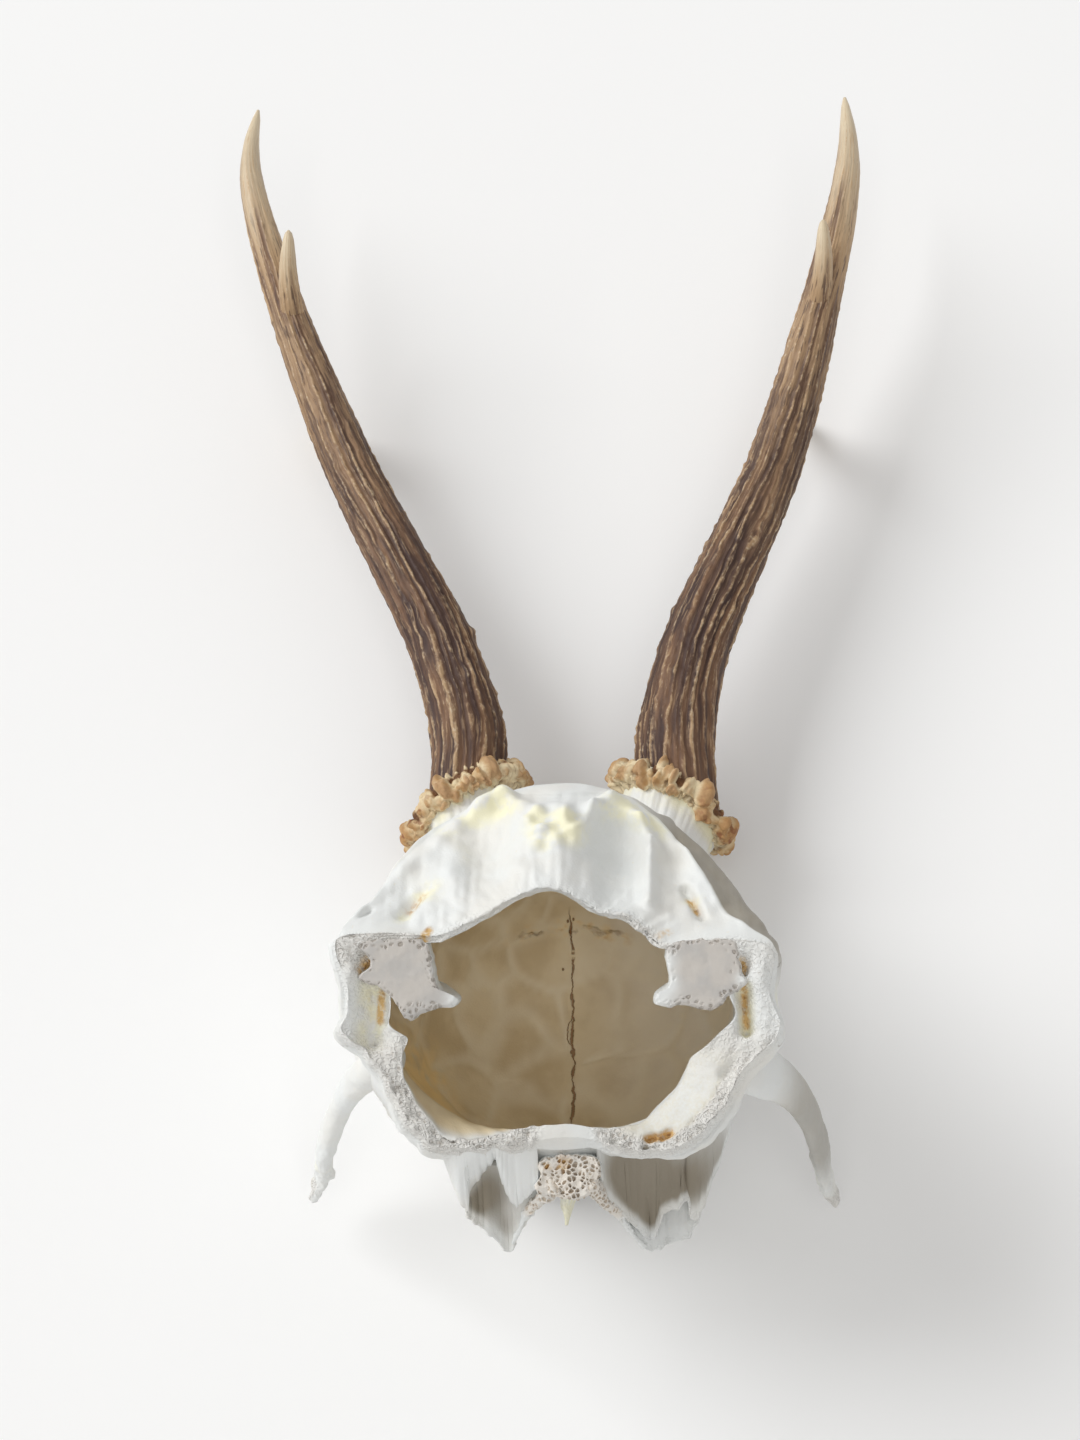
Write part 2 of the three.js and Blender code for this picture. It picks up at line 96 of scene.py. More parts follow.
def layered(points, cell, seed, layers=3):
    """Value noise at halving cell sizes, each layer half as strong as the one before."""
    return sum(noise(points, np.asarray(cell) / 2**k, seed + k) / 2**k for k in range(layers))


def cells(points, cell, seed):
    """Distances, in cells, to the nearest and the second nearest of points scattered one to a
    cell. Where the two are alike, a wall of the sponge stands."""
    scatter = np.random.default_rng(seed).random((CELL_LATTICE,) * 3 + (3,))
    at = points / cell
    base = np.floor(at).astype(int)
    near = np.full(at.shape[:-1], 9.0)
    second = near.copy()
    for step in np.ndindex(3, 3, 3):
        corner = base + step - 1
        centre = corner + scatter[tuple(np.moveaxis(corner % CELL_LATTICE, -1, 0))]
        distance = np.linalg.norm(at - centre, axis=-1)
        second = np.minimum(second, np.maximum(near, distance))
        near = np.minimum(near, distance)
    return near, second


def grain(points, rows):
    """The sum of the value noises in a list of (height, cell size, seed)."""
    return sum(height * noise(points, cell, seed) for height, cell, seed in rows)


def smoothstep(value, low, high):
    """0 below low, 1 above high, and 3t^2 - 2t^3 of the share t between them. With low above
    high it falls from 1 to 0."""
    t = np.clip((value - low) / (high - low), 0, 1)
    return t * t * (3 - 2 * t)


def holes(points, cell, seed, wall=(0.12, 0.5), core=0.7):
    """1 in the holes of sponge: well off a wall, where the two distances differ by the second
    number of wall or more, and nearer to the hole's centre than core."""
    near, second = cells(points, cell, seed)
    return smoothstep(second - near, *wall) * smoothstep(near, core, 0.3)


sample = noise(np.random.default_rng(1).random((1000, 3)) * 50, 3, 2)
print("value noise spans", sample.min().round(2), "to", sample.max().round(2))

# %% [markdown]
# ## Lines and tables
# A bone's shape is drawn here by a few given stations. A Catmull-Rom line runs smoothly
# through all of them, and because the stations may be whole rings, the same function lofts a
# surface. A table read round a full turn gives an outline.

# %% Smooth lines through stations
def through(stations, steps):
    """Points on the smooth line through the stations, with a number of steps to each stretch:
    a cubic whose slope at a station blends those of the stretches beside it, with the square
    root of a stretch's length as its time. Stations may be points or whole rows of points."""
    stations = np.asarray(stations, float)
    first = 2 * stations[0] - stations[1]
    last = 2 * stations[-1] - stations[-2]
    s = np.concatenate([first[None], stations, last[None]])
    gap = np.maximum(np.sqrt(np.linalg.norm(np.diff(s, axis=0), axis=-1, keepdims=True)), 1e-3)
    steps = [steps] * (len(stations) - 1) if isinstance(steps, int) else steps
    rows = []
    for i, count in enumerate(steps):
        p, q, r, t = s[i:i + 4]
        a, b, c = gap[i:i + 3]
        leave = b * ((q - p) / a - (r - p) / (a + b) + (r - q) / b)
        arrive = b * ((r - q) / b - (t - q) / (b + c) + (t - r) / c)
        u = (np.arange(count) / count).reshape((-1,) + (1,) * q.ndim)
        rows.append(q * (2 * u**3 - 3 * u**2 + 1) + leave * (u**3 - 2 * u**2 + u)
                    + r * (3 * u**2 - 2 * u**3) + arrive * (u**3 - u**2))
    return np.concatenate(rows + [stations[-1][None]])


def evenly(line, shares):
    """Points of a line at shares of its length."""
    run = np.concatenate([[0], np.cumsum(np.linalg.norm(np.diff(line, axis=0), axis=1))])
    return np.stack([np.interp(shares, run / run[-1], line[:, k]) for k in range(3)], -1)


def around(table, degrees):
    """Reads an outline table, [degrees, value] and going clockwise, as a closed cubic."""
    at, value = np.array(table, float).T
    start = at[0]
    place = np.concatenate([start - at - 360, start - at, start - at + 360])
    value = np.tile(value, 3)
    turn = (start - degrees) % 360
    i = np.searchsorted(place, turn, side="right") - 1
    p, q, r, s = [(place[i + k], value[i + k]) for k in (-1, 0, 1, 2)]
    width = r[0] - q[0]
    t = (turn - q[0]) / width
    leave = (r[1] - p[1]) / (r[0] - p[0]) * width
    arrive = (s[1] - q[1]) / (s[0] - q[0]) * width
    return (q[1] * (2 * t**3 - 3 * t**2 + 1) + leave * (t**3 - 2 * t**2 + t)
            + r[1] * (3 * t**2 - 2 * t**3) + arrive * (t**3 - t**2))


def reading(table, place):
    """Reads a table of [place, value] pairs with straight lines between them."""
    at, value = np.array(table, float).T
    return np.interp(place, at, value)


def outline(corners, count):
    """A closed smooth line through the corners, as this many evenly spaced points."""
    corners = np.array(corners, float)
    ring = np.concatenate([corners[-2:], corners, corners[:2]])
    dense = through(np.column_stack([ring, np.zeros(len(ring))]), 24)[48:-24]
    return evenly(np.concatenate([dense[:-1], dense[:1]]), np.arange(count) / count)[:, :2]


# %% [markdown]
# ## From a grid to a closed mesh
# A grid of points becomes a mesh of four-sided faces. Two closings are needed. A round bone is a
# stack of closed rows whose two ends shrink to a point, and a thin plate is one grid seen from both
# sides with its borders joined. The sign of the volume says whether the faces point outwards.

# %% Grids made into meshes
def piece(name, points, faces, values):
    """A mesh object from points in skull millimetres and arrays of faces. Faces are turned round
    when the volume, a sixth of the sum of a . (b x c), comes out negative."""
    volume = sum((points[f[:, 0]] * np.cross(points[f[:, k]], points[f[:, k + 1]])).sum()
                 for f in faces for k in range(1, f.shape[1] - 1)) / 6
    if volume < 0:
        faces = [f[:, ::-1] for f in faces]
    corners = np.concatenate([f.ravel() for f in faces])
    sizes = np.concatenate([np.full(len(f), f.shape[1]) for f in faces])
    mesh = bpy.data.meshes.new(name)
    mesh.vertices.add(len(points))
    mesh.vertices.foreach_set("co", (points * MM + ORIGIN).ravel())
    mesh.loops.add(len(corners))
    mesh.loops.foreach_set("vertex_index", corners)
    mesh.polygons.add(len(sizes))
    mesh.polygons.foreach_set("loop_start", np.cumsum(sizes) - sizes)
    mesh.polygons.foreach_set("use_smooth", np.ones(len(sizes), bool))
    for label, value in values.items():
        kind = "FLOAT_VECTOR" if value.ndim == 2 else "FLOAT"
        layer = mesh.attributes.new(label, kind, "POINT")
        layer.data.foreach_set("vector" if value.ndim == 2 else "value", value.ravel())
    mesh.update(calc_edges=True)
    made = bpy.data.objects.new(name, mesh)
    bpy.context.scene.collection.objects.link(made)
    print(f"{name}: {(sizes - 2).sum()} triangles, {abs(volume) / 1000:.2f} cm3")
    return made


def round_piece(name, rows, **values):
    """Closes a stack of rows (first and last are single points) into a piece."""
    count, turns = rows.shape[:2]

    def flat(grid):
        between = grid[1:-1].reshape((-1,) + grid.shape[2:])
        return np.concatenate([grid[:1, 0], between, grid[-1:, 0]])

    index = 1 + np.arange((count - 2) * turns).reshape(count - 2, turns)
    after = np.roll(index, -1, 1)
    quads = np.stack([index[:-1], after[:-1], after[1:], index[1:]], -1).reshape(-1, 4)
    last = 1 + index.size
    cap = np.stack([np.zeros(turns, int), after[0], index[0]], -1)
    end = np.stack([index[-1], after[-1], np.full(turns, last)], -1)
    return piece(name, flat(rows), [quads, cap, end], {k: flat(v) for k, v in values.items()})


def thin_piece(name, grid, thickness, **values):
    """Closes a sheet: the grid pushed out by half its thickness on both faces, borders joined."""
    side = grid_normals(grid, False) * thickness[..., None] / 2
    points = np.concatenate([(grid + side).reshape(-1, 3), (grid - side).reshape(-1, 3)])
    n, m = grid.shape[:2]
    index = np.arange(n * m).reshape(n, m)
    front = np.stack([index[:-1, :-1], index[1:, :-1], index[1:, 1:], index[:-1, 1:]], -1)
    front = front.reshape(-1, 4)
    border = np.concatenate([index[:-1, 0], index[-1, :-1], index[:0:-1, -1], index[0, :0:-1]])
    ahead = np.roll(border, -1)
    rim = np.stack([ahead, border, border + n * m, ahead + n * m], -1)
    both = {k: np.concatenate([v.ravel(), v.ravel()]) for k, v in values.items()}
    return piece(name, points, [front, front[:, ::-1] + n * m, rim], both)


def grid_normals(grid, closed=True):
    """Unit normals of a grid: the cross product of the slopes along its two directions."""
    if closed:
        along = np.roll(grid, -1, 1) - np.roll(grid, 1, 1)
    else:
        along = np.gradient(grid, axis=1)
    normal = np.cross(np.gradient(grid, axis=0), along)
    return normal / np.maximum(np.linalg.norm(normal, axis=-1, keepdims=True), 1e-9)


def outward(grid):
    """Unit normals of a closed stack of rows, turned to point out of the piece."""
    normal = grid_normals(grid)
    away = (normal * (grid - grid.mean((0, 1)))).sum()
    return normal if away > 0 else -normal


def mound(points, centre, reach, height):
    """A bell-shaped rise, height times e to the minus (distance / reach) squared."""
    return height * np.exp(-(((points - centre) / reach) ** 2).sum(-1))


def groove(points, start, end, width, height):
    """The same bell across a straight line from start to end."""
    start, end = np.array(start, float), np.array(end, float)
    run = end - start
    t = np.clip(((points - start) @ run) / (run @ run), 0, 1)
    off = points - start - t[..., None] * run
    return height * np.exp(-(off**2).sum(-1) / width**2)


def mounds(points, rows):
    """The sum of the mounds in a list of (centre, reach, height)."""
    return sum(mound(points, *row) for row in rows)


def grooves(points, rows):
    """The sum of the grooves in a list of (start, end, width, height)."""
    return sum(groove(points, *row) for row in rows)


def spots(xy, rows):
    """The sum of round mounds in a list of (x, y, radius, height)."""
    return sum(mound(xy, (x, y), (r, r), height) for x, y, r, height in rows)


def dress(made, slot, finish, *nodes):
    """Gives a piece its body and its finish, and hides the CAD nodes it stands for. The slot is not
    used.
    """
    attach(made, "root")
    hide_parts(*nodes)
    made.data.materials.append(finish)


# %% [markdown]
# ## Shader maths as plain sums
# A finish is a set of masks and colours, and writing `1 - wear` is easier to read than wiring
# nodes. `Value` wraps a socket, so that each sum on it adds a Math node. `Finish` holds one
# material and adds every other node through a single method. All patterns read object
# coordinates, turned back into skull millimetres, so a pore is as large as a pore on every bone.

# %% A small shader language
class Value:
    """A number that the material works out at each point; each operator adds a Math node."""

    def __init__(self, finish, socket):
        self.finish = finish
        self.socket = socket

    def math(self, operation, *operands):
        return self.finish.node("Math", {"operation": operation}, dict(enumerate(operands)))

    def __add__(self, other):
        return self.math("ADD", self, other)

    def __sub__(self, other):
        return self.math("SUBTRACT", self, other)

    def __rsub__(self, other):
        return self.math("SUBTRACT", other, self)

    def __mul__(self, other):
        return self.math("MULTIPLY", self, other)

    def __pow__(self, other):
        return self.math("POWER", self, other)

    def __abs__(self):
        return self.math("ABSOLUTE", self)

    __radd__ = __add__
    __rmul__ = __mul__

    def step(self, low, high):
        """0 below low, 1 above high, smooth between them. With low above high it falls."""
        return self.finish.node("MapRange", {"interpolation_type": "SMOOTHSTEP"},
                                {0: self, 1: low, 2: high, 3: 0.0, 4: 1.0})


class Finish:
    """A material whose nodes are added by one method."""

    def __init__(self, name, constants):
        self.material = bpy.data.materials.new(name)
        self.material.use_nodes = True
        self.tree = self.material.node_tree
        self.shader = next(n for n in self.tree.nodes if n.type == "BSDF_PRINCIPLED")
        for socket, value in constants.items():
            self.shader.inputs[socket].default_value = value
        place = self.node("TexCoord", {}, {}, "Object")
        self.mm = self.node("Mapping", {}, {"Vector": place, "Scale": (1 / MM,) * 3,
                                            "Location": tuple(-ORIGIN / MM)})

    def node(self, kind, settings, inputs, output=0):
        """Adds a node: its settings first, then the values or links of its sockets."""
        made = self.tree.nodes.new("ShaderNode" + kind)
        for setting, value in settings.items():
            setattr(made, setting, value)
        for socket, value in inputs.items():
            if isinstance(value, Value):
                self.tree.links.new(value.socket, made.inputs[socket])
            else:
                made.inputs[socket].default_value = value
        return Value(self, made.outputs[output])

    def axis(self, label):
        """One of the coordinates X, Y and Z in skull millimetres."""
        return self.node("SeparateXYZ", {}, {0: self.mm}, label)

    def cloud(self, size, detail=2.0, vector=None, seed=0.0):
        """Noise around 0.5 with blotches of this size in mm."""
        return self.node("TexNoise", {"noise_dimensions": "4D"}, {
            "Vector": vector or self.mm, "W": seed, "Scale": 1 / size, "Detail": detail})

    def pores(self, size):
        """Distance to the nearest cell wall, for cells of this size in mm."""
        return self.node("TexVoronoi", {"feature": "DISTANCE_TO_EDGE"},
                         {"Vector": self.mm, "Scale": 1 / size})

    def stretched(self, scale, vector=None):
        """The place times a scale for each axis, which draws a pattern out along the small one."""
        return self.node("Mapping", {}, {"Vector": vector or self.mm, "Scale": scale})

    def mask(self, label):
        """A value that the piece carries at each of its points."""
        return self.node("Attribute", {"attribute_name": label}, {}, "Fac")

    def mix(self, share, low, high):
        """Colour low where share is 0, high where it is 1."""
        pair = [c if isinstance(c, Value) else (*c, 1.0) for c in (low, high)]
        return self.node("Mix", {"data_type": "RGBA"}, {0: share, 6: pair[0], 7: pair[1]}, 2)

    def coats(self, colour, *coats):
        """Lays coats over a colour, each a share from 0 to 1 and the colour it brings."""
        for share, coat in coats:
            colour = self.mix(share, colour, coat)
        return colour

    def connect(self, colour, roughness, height):
        """Feeds the shader; height is in mm and reaches Normal through a Bump node."""
        bump = self.node("Bump", {}, {"Height": height, "Distance": MM, "Strength": 1.0})
        for socket, value in (("Base Color", colour), ("Roughness", roughness), ("Normal", bump)):
            self.tree.links.new(value.socket, self.shader.inputs[socket])
        return self.material


# %% [markdown]
# ## The bone finish
# Bleached bone is a cold white with warmer, slightly greasy patches. Old blood and fat leave cream
# and orange stains, the inside of the braincase stays ochre, and sawn sponge is grey with dark cells.
# A grey-brown coat is painted shade, with some dirt, where bone faces away from the lamp or lies in
# the hollows of the plates. Deep holes in the sawn wall are darkened as painted shade, and the right
# inner wall is paler with painted light. The pieces carry a mask for each of these, and clouds of
# noise break up the masks' edges. The joints between the bones are fine wavering lines, found from
# the distance to a curve.

# %% Colours of bone, and its joints as lines
BONE_WHITE = (0.785, 0.80, 0.79)
BONE_WARM = (0.785, 0.775, 0.735)
CREAM = (0.88, 0.85, 0.63)
ORANGE = (0.66, 0.44, 0.19)
RUST = (0.40, 0.22, 0.085)
AGED = (0.73, 0.67, 0.57)
INSIDE_LIGHT = (0.80, 0.68, 0.47)
INSIDE_DARK = (0.67, 0.54, 0.34)
# painted light: the paler tone of the right inner wall, which the lamp lights
INSIDE_PAINTED_LIGHT = (0.97, 0.94, 0.87)
VEIN = (0.92, 0.84, 0.67)
OCHRE = (0.93, 0.71, 0.36)
SPONGE_WALL = (0.75, 0.735, 0.70)
SPONGE_CELL = (0.54, 0.48, 0.41)
SLOPE_WARM = (0.70, 0.68, 0.61)
SLOPE_CREAM = (0.72, 0.66, 0.49)
SUTURE = (0.31, 0.17, 0.08)
# painted shade, with some dirt: the grey-brown for bone turned from the lamp or lying in a hollow
DUST_AND_SHADE = (0.27, 0.235, 0.18)
PEACH = (0.80, 0.55, 0.38)


def suture_line(f, distance, width, wander, seed):
    """1 on a line and 0 beside it. The line wanders by this many mm and thins out in places."""
    swing = (f.cloud(3.2, 3.0, seed=seed) - 0.5) * 2 * wander
    teeth = (f.cloud(0.9, 1.0, seed=seed + 1) - 0.5) * 3.2
    gap = abs(distance + swing + teeth)
    return gap.step(width, width * 0.3) * f.cloud(5.0, 1.0, seed=seed + 3).step(0.36, 0.56)


def outer_joints(f, x, y, z):
    """The joints of the outer face: behind the roof, across it, round the temple, and down the
    middle of the brow."""
    behind = suture_line(f, z + y * 0.3125 - 74.0 + x * x * 0.006, 0.24, 2.0, 7.0)
    across = suture_line(f, z - 35 + x * x * 0.010, 0.24, 2.2, 17.0)
    temple = suture_line(f, y - 46 + (z - 44) * (z - 44) * 0.035, 0.22, 1.3, 27.0)
    brow = suture_line(f, x, 0.24, 1.5, 37.0)
    brow = brow * z.step(35, 33) * y.step(38, 40)
    return (behind + across + temple * z.step(27, 30) + brow) * f.mask("outer")


def middle_joint(f, x, y, patchy):
    """The joint that runs up the inside, and the stain round it. The thread thickens, breaks
    off and splits into a short loop, and a few vein holes lie beside it."""
    level = f.stretched((0.0, 1.0, 0.0))
    swing = (x - 0.7 + (f.cloud(4.5, 2.0, level, 5.0) - 0.5) * 3.0
             + (f.cloud(0.8, 2.0, level, 6.0) - 0.5) * 0.9)
    middle = abs(swing)
    span = y.step(17.5, 20.0) * y.step(54.5, 52.0)
    thick = f.cloud(1.7, 2.0, level, 8.0).step(0.36, 0.62) * 0.28 + 0.12
    unbroken = f.cloud(1.9, 2.0, level, 9.0).step(0.34, 0.44) * 0.8
    unbroken = (unbroken + y.step(38.0, 34.0)).step(0.0, 1.0)
    loop = y.step(32.6, 35.0) * y.step(39.0, 36.6)
    beside = abs(swing + loop * 0.8).step(0.13, 0.04) * loop.step(0.0, 0.2)
    vein_holes = ((0.55, 32.2, 0.28), (0.2, 52.4, 0.06), (1.2, 52.6, 0.05), (-0.9, 46.0, 0.07))
    dots = sum(((x - at_x) ** 2 + (y - at_y) ** 2).step(size, size * 0.3)
               for at_x, at_y, size in vein_holes)
    thread = middle.step(thick, thick * 0.35) * unbroken * span
    stain = middle.step(2.4, 0.0) * span * y.step(40.0, 50.0) * patchy.step(0.35, 0.65)
    return (thread + beside + dots).step(0.0, 1.0), stain


def cross_joint(f, x, y, z, patchy):
    """The joint that arches across the inside, and the stain round it."""
    arc = abs(y - 51.4 + x * x * 0.017 + (f.cloud(2.2, 3.0, seed=9.0) - 0.5) * 2.4)
    span = abs(x).step(13.0, 9.0) * z.step(15.0, 18.0) * z.step(34.0, 30.0)
    thread = arc.step(0.40, 0.04) * span * f.cloud(2.6, 2.0, seed=12.0).step(0.44, 0.6)
    return thread, arc.step(1.9, 0.1) * span * patchy.step(0.42, 0.66)


# %% The bone finish
def bone_finish():
    """White bone and what the masks lay over it: stains, the inside, sawn bone, painted shade and dirt.
    """
    f = Finish("bleached_bone", {"Specular IOR Level": 0.4, "IOR": 1.5})
    x, y, z = f.axis("X"), f.axis("Y"), f.axis("Z")
    inside, sawn, outer = f.mask("inside"), f.mask("sawn"), f.mask("outer")
    fine = f.cloud(0.5, 4.0, seed=1.0)
    blotch = f.cloud(9.0, 4.0, seed=2.0)
    patchy = f.cloud(3.0, 4.0, seed=4.0)
    joints = outer_joints(f, x, y, z)
    thread, stain_beside = middle_joint(f, x, y, patchy)
    across, stain_across = cross_joint(f, x, y, z, patchy)
    # the white bone, and the stains, age and specks of the outer face
    stain = f.cloud(7.0, 4.0, seed=23.0).step(0.56, 0.74) * f.cloud(1.4, 3.0, seed=24.0).step(0.3, 0.7)
    aged = blotch.step(0.44, 0.68) * f.cloud(2.0, 4.0, seed=26.0).step(0.3, 0.7)
    colour = f.coats(
        BONE_WHITE,
        (f.cloud(14.0, 3.0).step(0.42, 0.66), BONE_WARM),
        (fine.step(0.62, 0.75) * 0.25, INSIDE_LIGHT),
        ((f.mask("cream") * patchy.step(0.25, 0.6) * 1.1).step(0.05, 1.0), CREAM),
        (joints.step(0.0, 1.0) * 0.5, SPONGE_CELL),
        (stain * outer * 0.4, CREAM),
        (aged * outer * 0.5, AGED),
        (f.cloud(0.28, 2.0, seed=25.0).step(0.70, 0.78) * outer * 0.5, SPONGE_CELL))
    # the inside: blotches, painted light on the right wall, pale veins and the two brown joints
    within = f.coats(
        INSIDE_LIGHT,
        (blotch.step(0.38, 0.62), INSIDE_DARK),
        # painted light: paler towards the animal's right, most near the opening, where the lamp falls
        (x.step(0.0, 17.0) * (z.step(12.0, 26.0) * 0.5 + 0.5), INSIDE_PAINTED_LIGHT),
        (f.mask("vein") * 0.55, VEIN),
        ((f.mask("ochre") * patchy.step(0.1, 0.7)).step(0.05, 0.9), OCHRE),
        ((stain_beside * 0.35 + stain_across * 0.7).step(0.0, 1.0),
         f.mix(patchy.step(0.5, 0.7), OCHRE, ORANGE)),
        ((thread * 0.8 + across * 0.45).step(0.0, 1.0), SUTURE))
    # sawn and broken bone
    sponge = f.pores(0.75)
    wall = f.coats(
        SPONGE_WALL,
        (sponge.step(0.02, 0.26) * patchy.step(0.4, 0.6) * 0.3, SPONGE_CELL),
        ((f.mask("smooth") * 0.9).step(0.0, 1.0),
         f.mix(patchy.step(0.40, 0.7), SLOPE_WARM, SLOPE_CREAM)))
    # painted shade, with some dirt: a grey-brown coat where bone faces away from the lamp or lies in a
    # hollow
    dust = f.mask("dust") * (0.88 + f.cloud(1.4, 3.0, f.stretched((1.0, 0.2, 0.2)), 19.0) * 0.24)
    marrow = f.mask("orange") * (0.45 + f.cloud(0.7, 4.0, seed=14.0).step(0.35, 0.6) * 0.55)
    colour = f.coats(
        colour,
        (inside, within),
        ((sawn + fine * 0.5 - 0.25).step(0.25, 0.7) * 0.85, wall),
        # dark sponge holes, and painted shade in the deep holes of the sawn wall
        (f.mask("pit").step(0.2, 1.0) * 0.45, SPONGE_CELL),
        (dust.step(0.0, 1.1), DUST_AND_SHADE),
        ((f.mask("peach") * 1.2).step(0.1, 1.0), PEACH),
        (marrow.step(0.05, 0.7), f.mix(f.cloud(0.8, 2.0, seed=15.0).step(0.5, 0.7), ORANGE, RUST)))
    relief = (f.cloud(0.32, 3.0, seed=16.0) - 0.5) * 0.05 + (f.cloud(1.6, 3.0, seed=18.0) - 0.5) * 0.10
    relief = relief - sponge.step(0.02, 0.3) * sawn * 0.22 * (1 - f.mask("smooth"))
    relief = relief - joints * 0.18 - (thread + across) * inside * 0.35
    return f.connect(colour, 0.50 + blotch * 0.12 + sawn * 0.25, relief)


bone = bone_finish()
print("bone finish:", len(bone.node_tree.nodes), "nodes")

# %% [markdown]
# ## The braincase: one surface from pole to pole
# The braincase is a bowl with a thick, sawn edge. Its surface can be walked in one go along any
# meridian: from the middle of the front wall's inside, back along the cavity, over the sawn rim,
# across the plate of the occipital bone to the crest, forward along the roof, side or floor, and
# in again over the sawn brow that it rests on. 400 such meridians, one every 0.9 degrees, make a
# grid. The tables follow the CAD's: the outline of the saw cut, the width of wall it bared, the
# crest, and the rings of the inner and outer faces. In a table read round the opening, the first
# number is the angle in degrees: 0 is the animal's right, and 90 is the same as -270, the top.

# %% Tables of the braincase
SAW_Z = 58
SAW_SLOPE = 0.532
CUT_CENTRE_Y = 17
BROW_LEVEL = 30
FRONT_RISE = 0.31
PLATE_EDGE = 2.6
CUT_OUTER = [
    (14, 34.5), (4, 32.8), (-5, 34.2), (-16, 29.8), (-28, 28.6), (-39, 27.2), (-49, 25.2),
    (-71, 18.9), (-90, 17.2), (-116, 20.2), (-138, 26.8), (-148, 27.2), (-165, 28.5), (-172, 31.2),
    (-176.5, 34.0), (-180.5, 32.7), (-187, 32.5), (-197, 35.6), (-202, 30), (-210, 21.5),
    (-232, 17.4), (-253, 17), (-268, 17.1),
    (-291, 15.1), (-306, 16.3), (-320, 17.5), (-333, 19.6), (-341, 29)]
CUT_WALL = [
    (12, 6.3), (0, 6), (-7, 9), (-20, 8.4), (-38, 8.2), (-56, 5), (-70, 2.2), (-90, 1.8),
    (-107, 2.3), (-126, 2.2), (-142, 2.2), (-154, 2), (-165, 3.2), (-173, 8), (-185, 6),
    (-197, 7), (-212, 0.9), (-334, 0.8)]
CREST_STEP = 1.2
SHOULDER_RADIUS = [
    (14, 35.6), (-10, 26), (-90, 18.9), (-170, 26), (-197, 36), (-213, 35.2), (-232, 37.9),
    (-245, 40.2), (-256, 41), (-270, 38.8), (-284, 40.8), (-295, 39.9), (-308, 37.6),
    (-327, 34.9), (-340, 35)]
CREST_INSET = [
    (14, 0.9), (-10, 0.4), (-90, 0.4), (-170, 0.4), (-197, 0.6), (-245, 0.6), (-275, 0.6),
    (-288, 0.7), (-300, 2.2), (-312, 3.6), (-328, 4.4), (-338, 3.0)]
CREST_INSET_DROP = 0.52
CREST_DROP = [
    (16, 1.2), (0, 1.6), (-90, 1.6), (-180, 1.6), (-197, 1.2), (-213, 9), (-232, 18),
    (-245, 23.5), (-256, 24), (-270, 21), (-284, 24.1), (-295, 23.3), (-308, 17.8), (-327, 8.7)]
RIM_FALL = [(14, 0), (-6, 1.0), (-18, 4.6), (-42, 5.2), (-60, 2.2), (-76, 0.2), (-104, 0.2),
            (-125, 0.8), (-150, 0.5), (-180, 0), (-270, 0)]
SPONGE = [(14, 0.5), (0, 0.35), (-16, 0.7), (-45, 1), (-66, 0.9), (-76, 0.1), (-98, 0.1),
          (-106, 0.9), (-130, 1), (-158, 1), (-169, 0.75), (-178, 0.35), (-187, 0.35), (-197, 0.8),
          (-212, 0.5), (-250, 0.3), (-290, 0.4), (-325, 0.6)]
RAGGED = [(14, 0.5), (-16, 0.6), (-45, 0.8), (-66, 0.9), (-78, 0.2), (-98, 0.2), (-106, 1),
          (-155, 1), (-185, 0.6), (-212, 0.6), (-250, 0.4), (-285, 0.5), (-315, 1), (-335, 0.8)]
# Rings, each a crown and a floor point (y, z), half the width, and the y where it is widest.
OUTER_RINGS = [((61, 58), (-4.4, 47), 31.4, 22), ((65, 45), (-1.6, 37), 31.6, 26),
               ((67.5, 30), (2.4, 26), 30, 30), ((67.5, 15), (5.8, 16), 27, 33)]
INNER_RINGS = [((42, 12.8), (16, 12.2), 13, 29), ((51, 20), (11, 17.5), 21.5, 30),
               ((57, 33), (7.2, 27), 26.6, 29), ((58, 46), (3.6, 38), 28.6, 26),
               ((54.5, 60), (2.4, 50), 27.6, 22)]
INNER_POLE = (0, 29, 10.4)
BROW_RINGS = [(25, 64.5, 8.4, 34), (19.5, 54, 12, 32)]
RECESS_RING = ((49, 5.4), (14.5, 7.6), 14.5, 30)
FRONT_POLE = (0, 29, 6.2)

MERIDIANS = 400
degrees = np.arange(MERIDIANS) * 360 / MERIDIANS
cos, sin = np.cos(np.radians(degrees)), np.sin(np.radians(degrees))


def ring(crown, floor, half, side):
    """A rounded ring: x = half cos a; y swings from side to crown or floor by sin a; z follows y
    in a straight line from floor to crown."""
    y = side + sin * np.where(sin > 0, crown[0] - side, side - floor[0])
    z = floor[1] + (crown[1] - floor[1]) * (y - floor[0]) / (crown[0] - floor[0])
    return np.stack([half * cos, y, z], -1)


def brow_ring(half, crown, floor, side):
    """A ring in the front saw cut: on the table above the brow, lifting below it."""
    made = ring((crown, 0), (floor, 0), half, side)
    made[:, 2] = np.maximum(0, FRONT_RISE * (BROW_LEVEL - made[:, 1]))
    return made


def cut_line(radius, drop):
    """A closed line of this radius round the cut's centre, this far below the saw plane."""
    y = CUT_CENTRE_Y + radius * sin
    return np.stack([radius * cos, y, SAW_Z + SAW_SLOPE * y - drop], -1)


print("saw cut leans", round(math.degrees(math.atan(SAW_SLOPE)), 1), "degrees")

# %% [markdown]
# ### Lofting the rows
# The edge of a broken or sawn bone is never a clean curve, so both borders of the rim are pushed
# in and out by noise before the loft. The thin plate above the opening is 2.6 mm thick.

# %% The smooth loft
INNER_STEPS = [7, 9, 11, 12, 12, 11]
RIM_STEPS = 26
PLATE_STEPS = 42
OUTER_STEPS = [7, 9, 13, 13, 11, 8]
BROW_STEPS = 12
RECESS_STEPS = [5, 6]
EDGE_GRAIN = [(0.42, 2.2, 11), (0.30, 0.8, 12)]
SHOULDER_BELOW = 0.7


def climb(count):
    """The shares 1/n, 2/n and so on up to 1, for the rows of a straight stretch."""
    return (np.arange(1, count + 1) / count)[:, None, None]


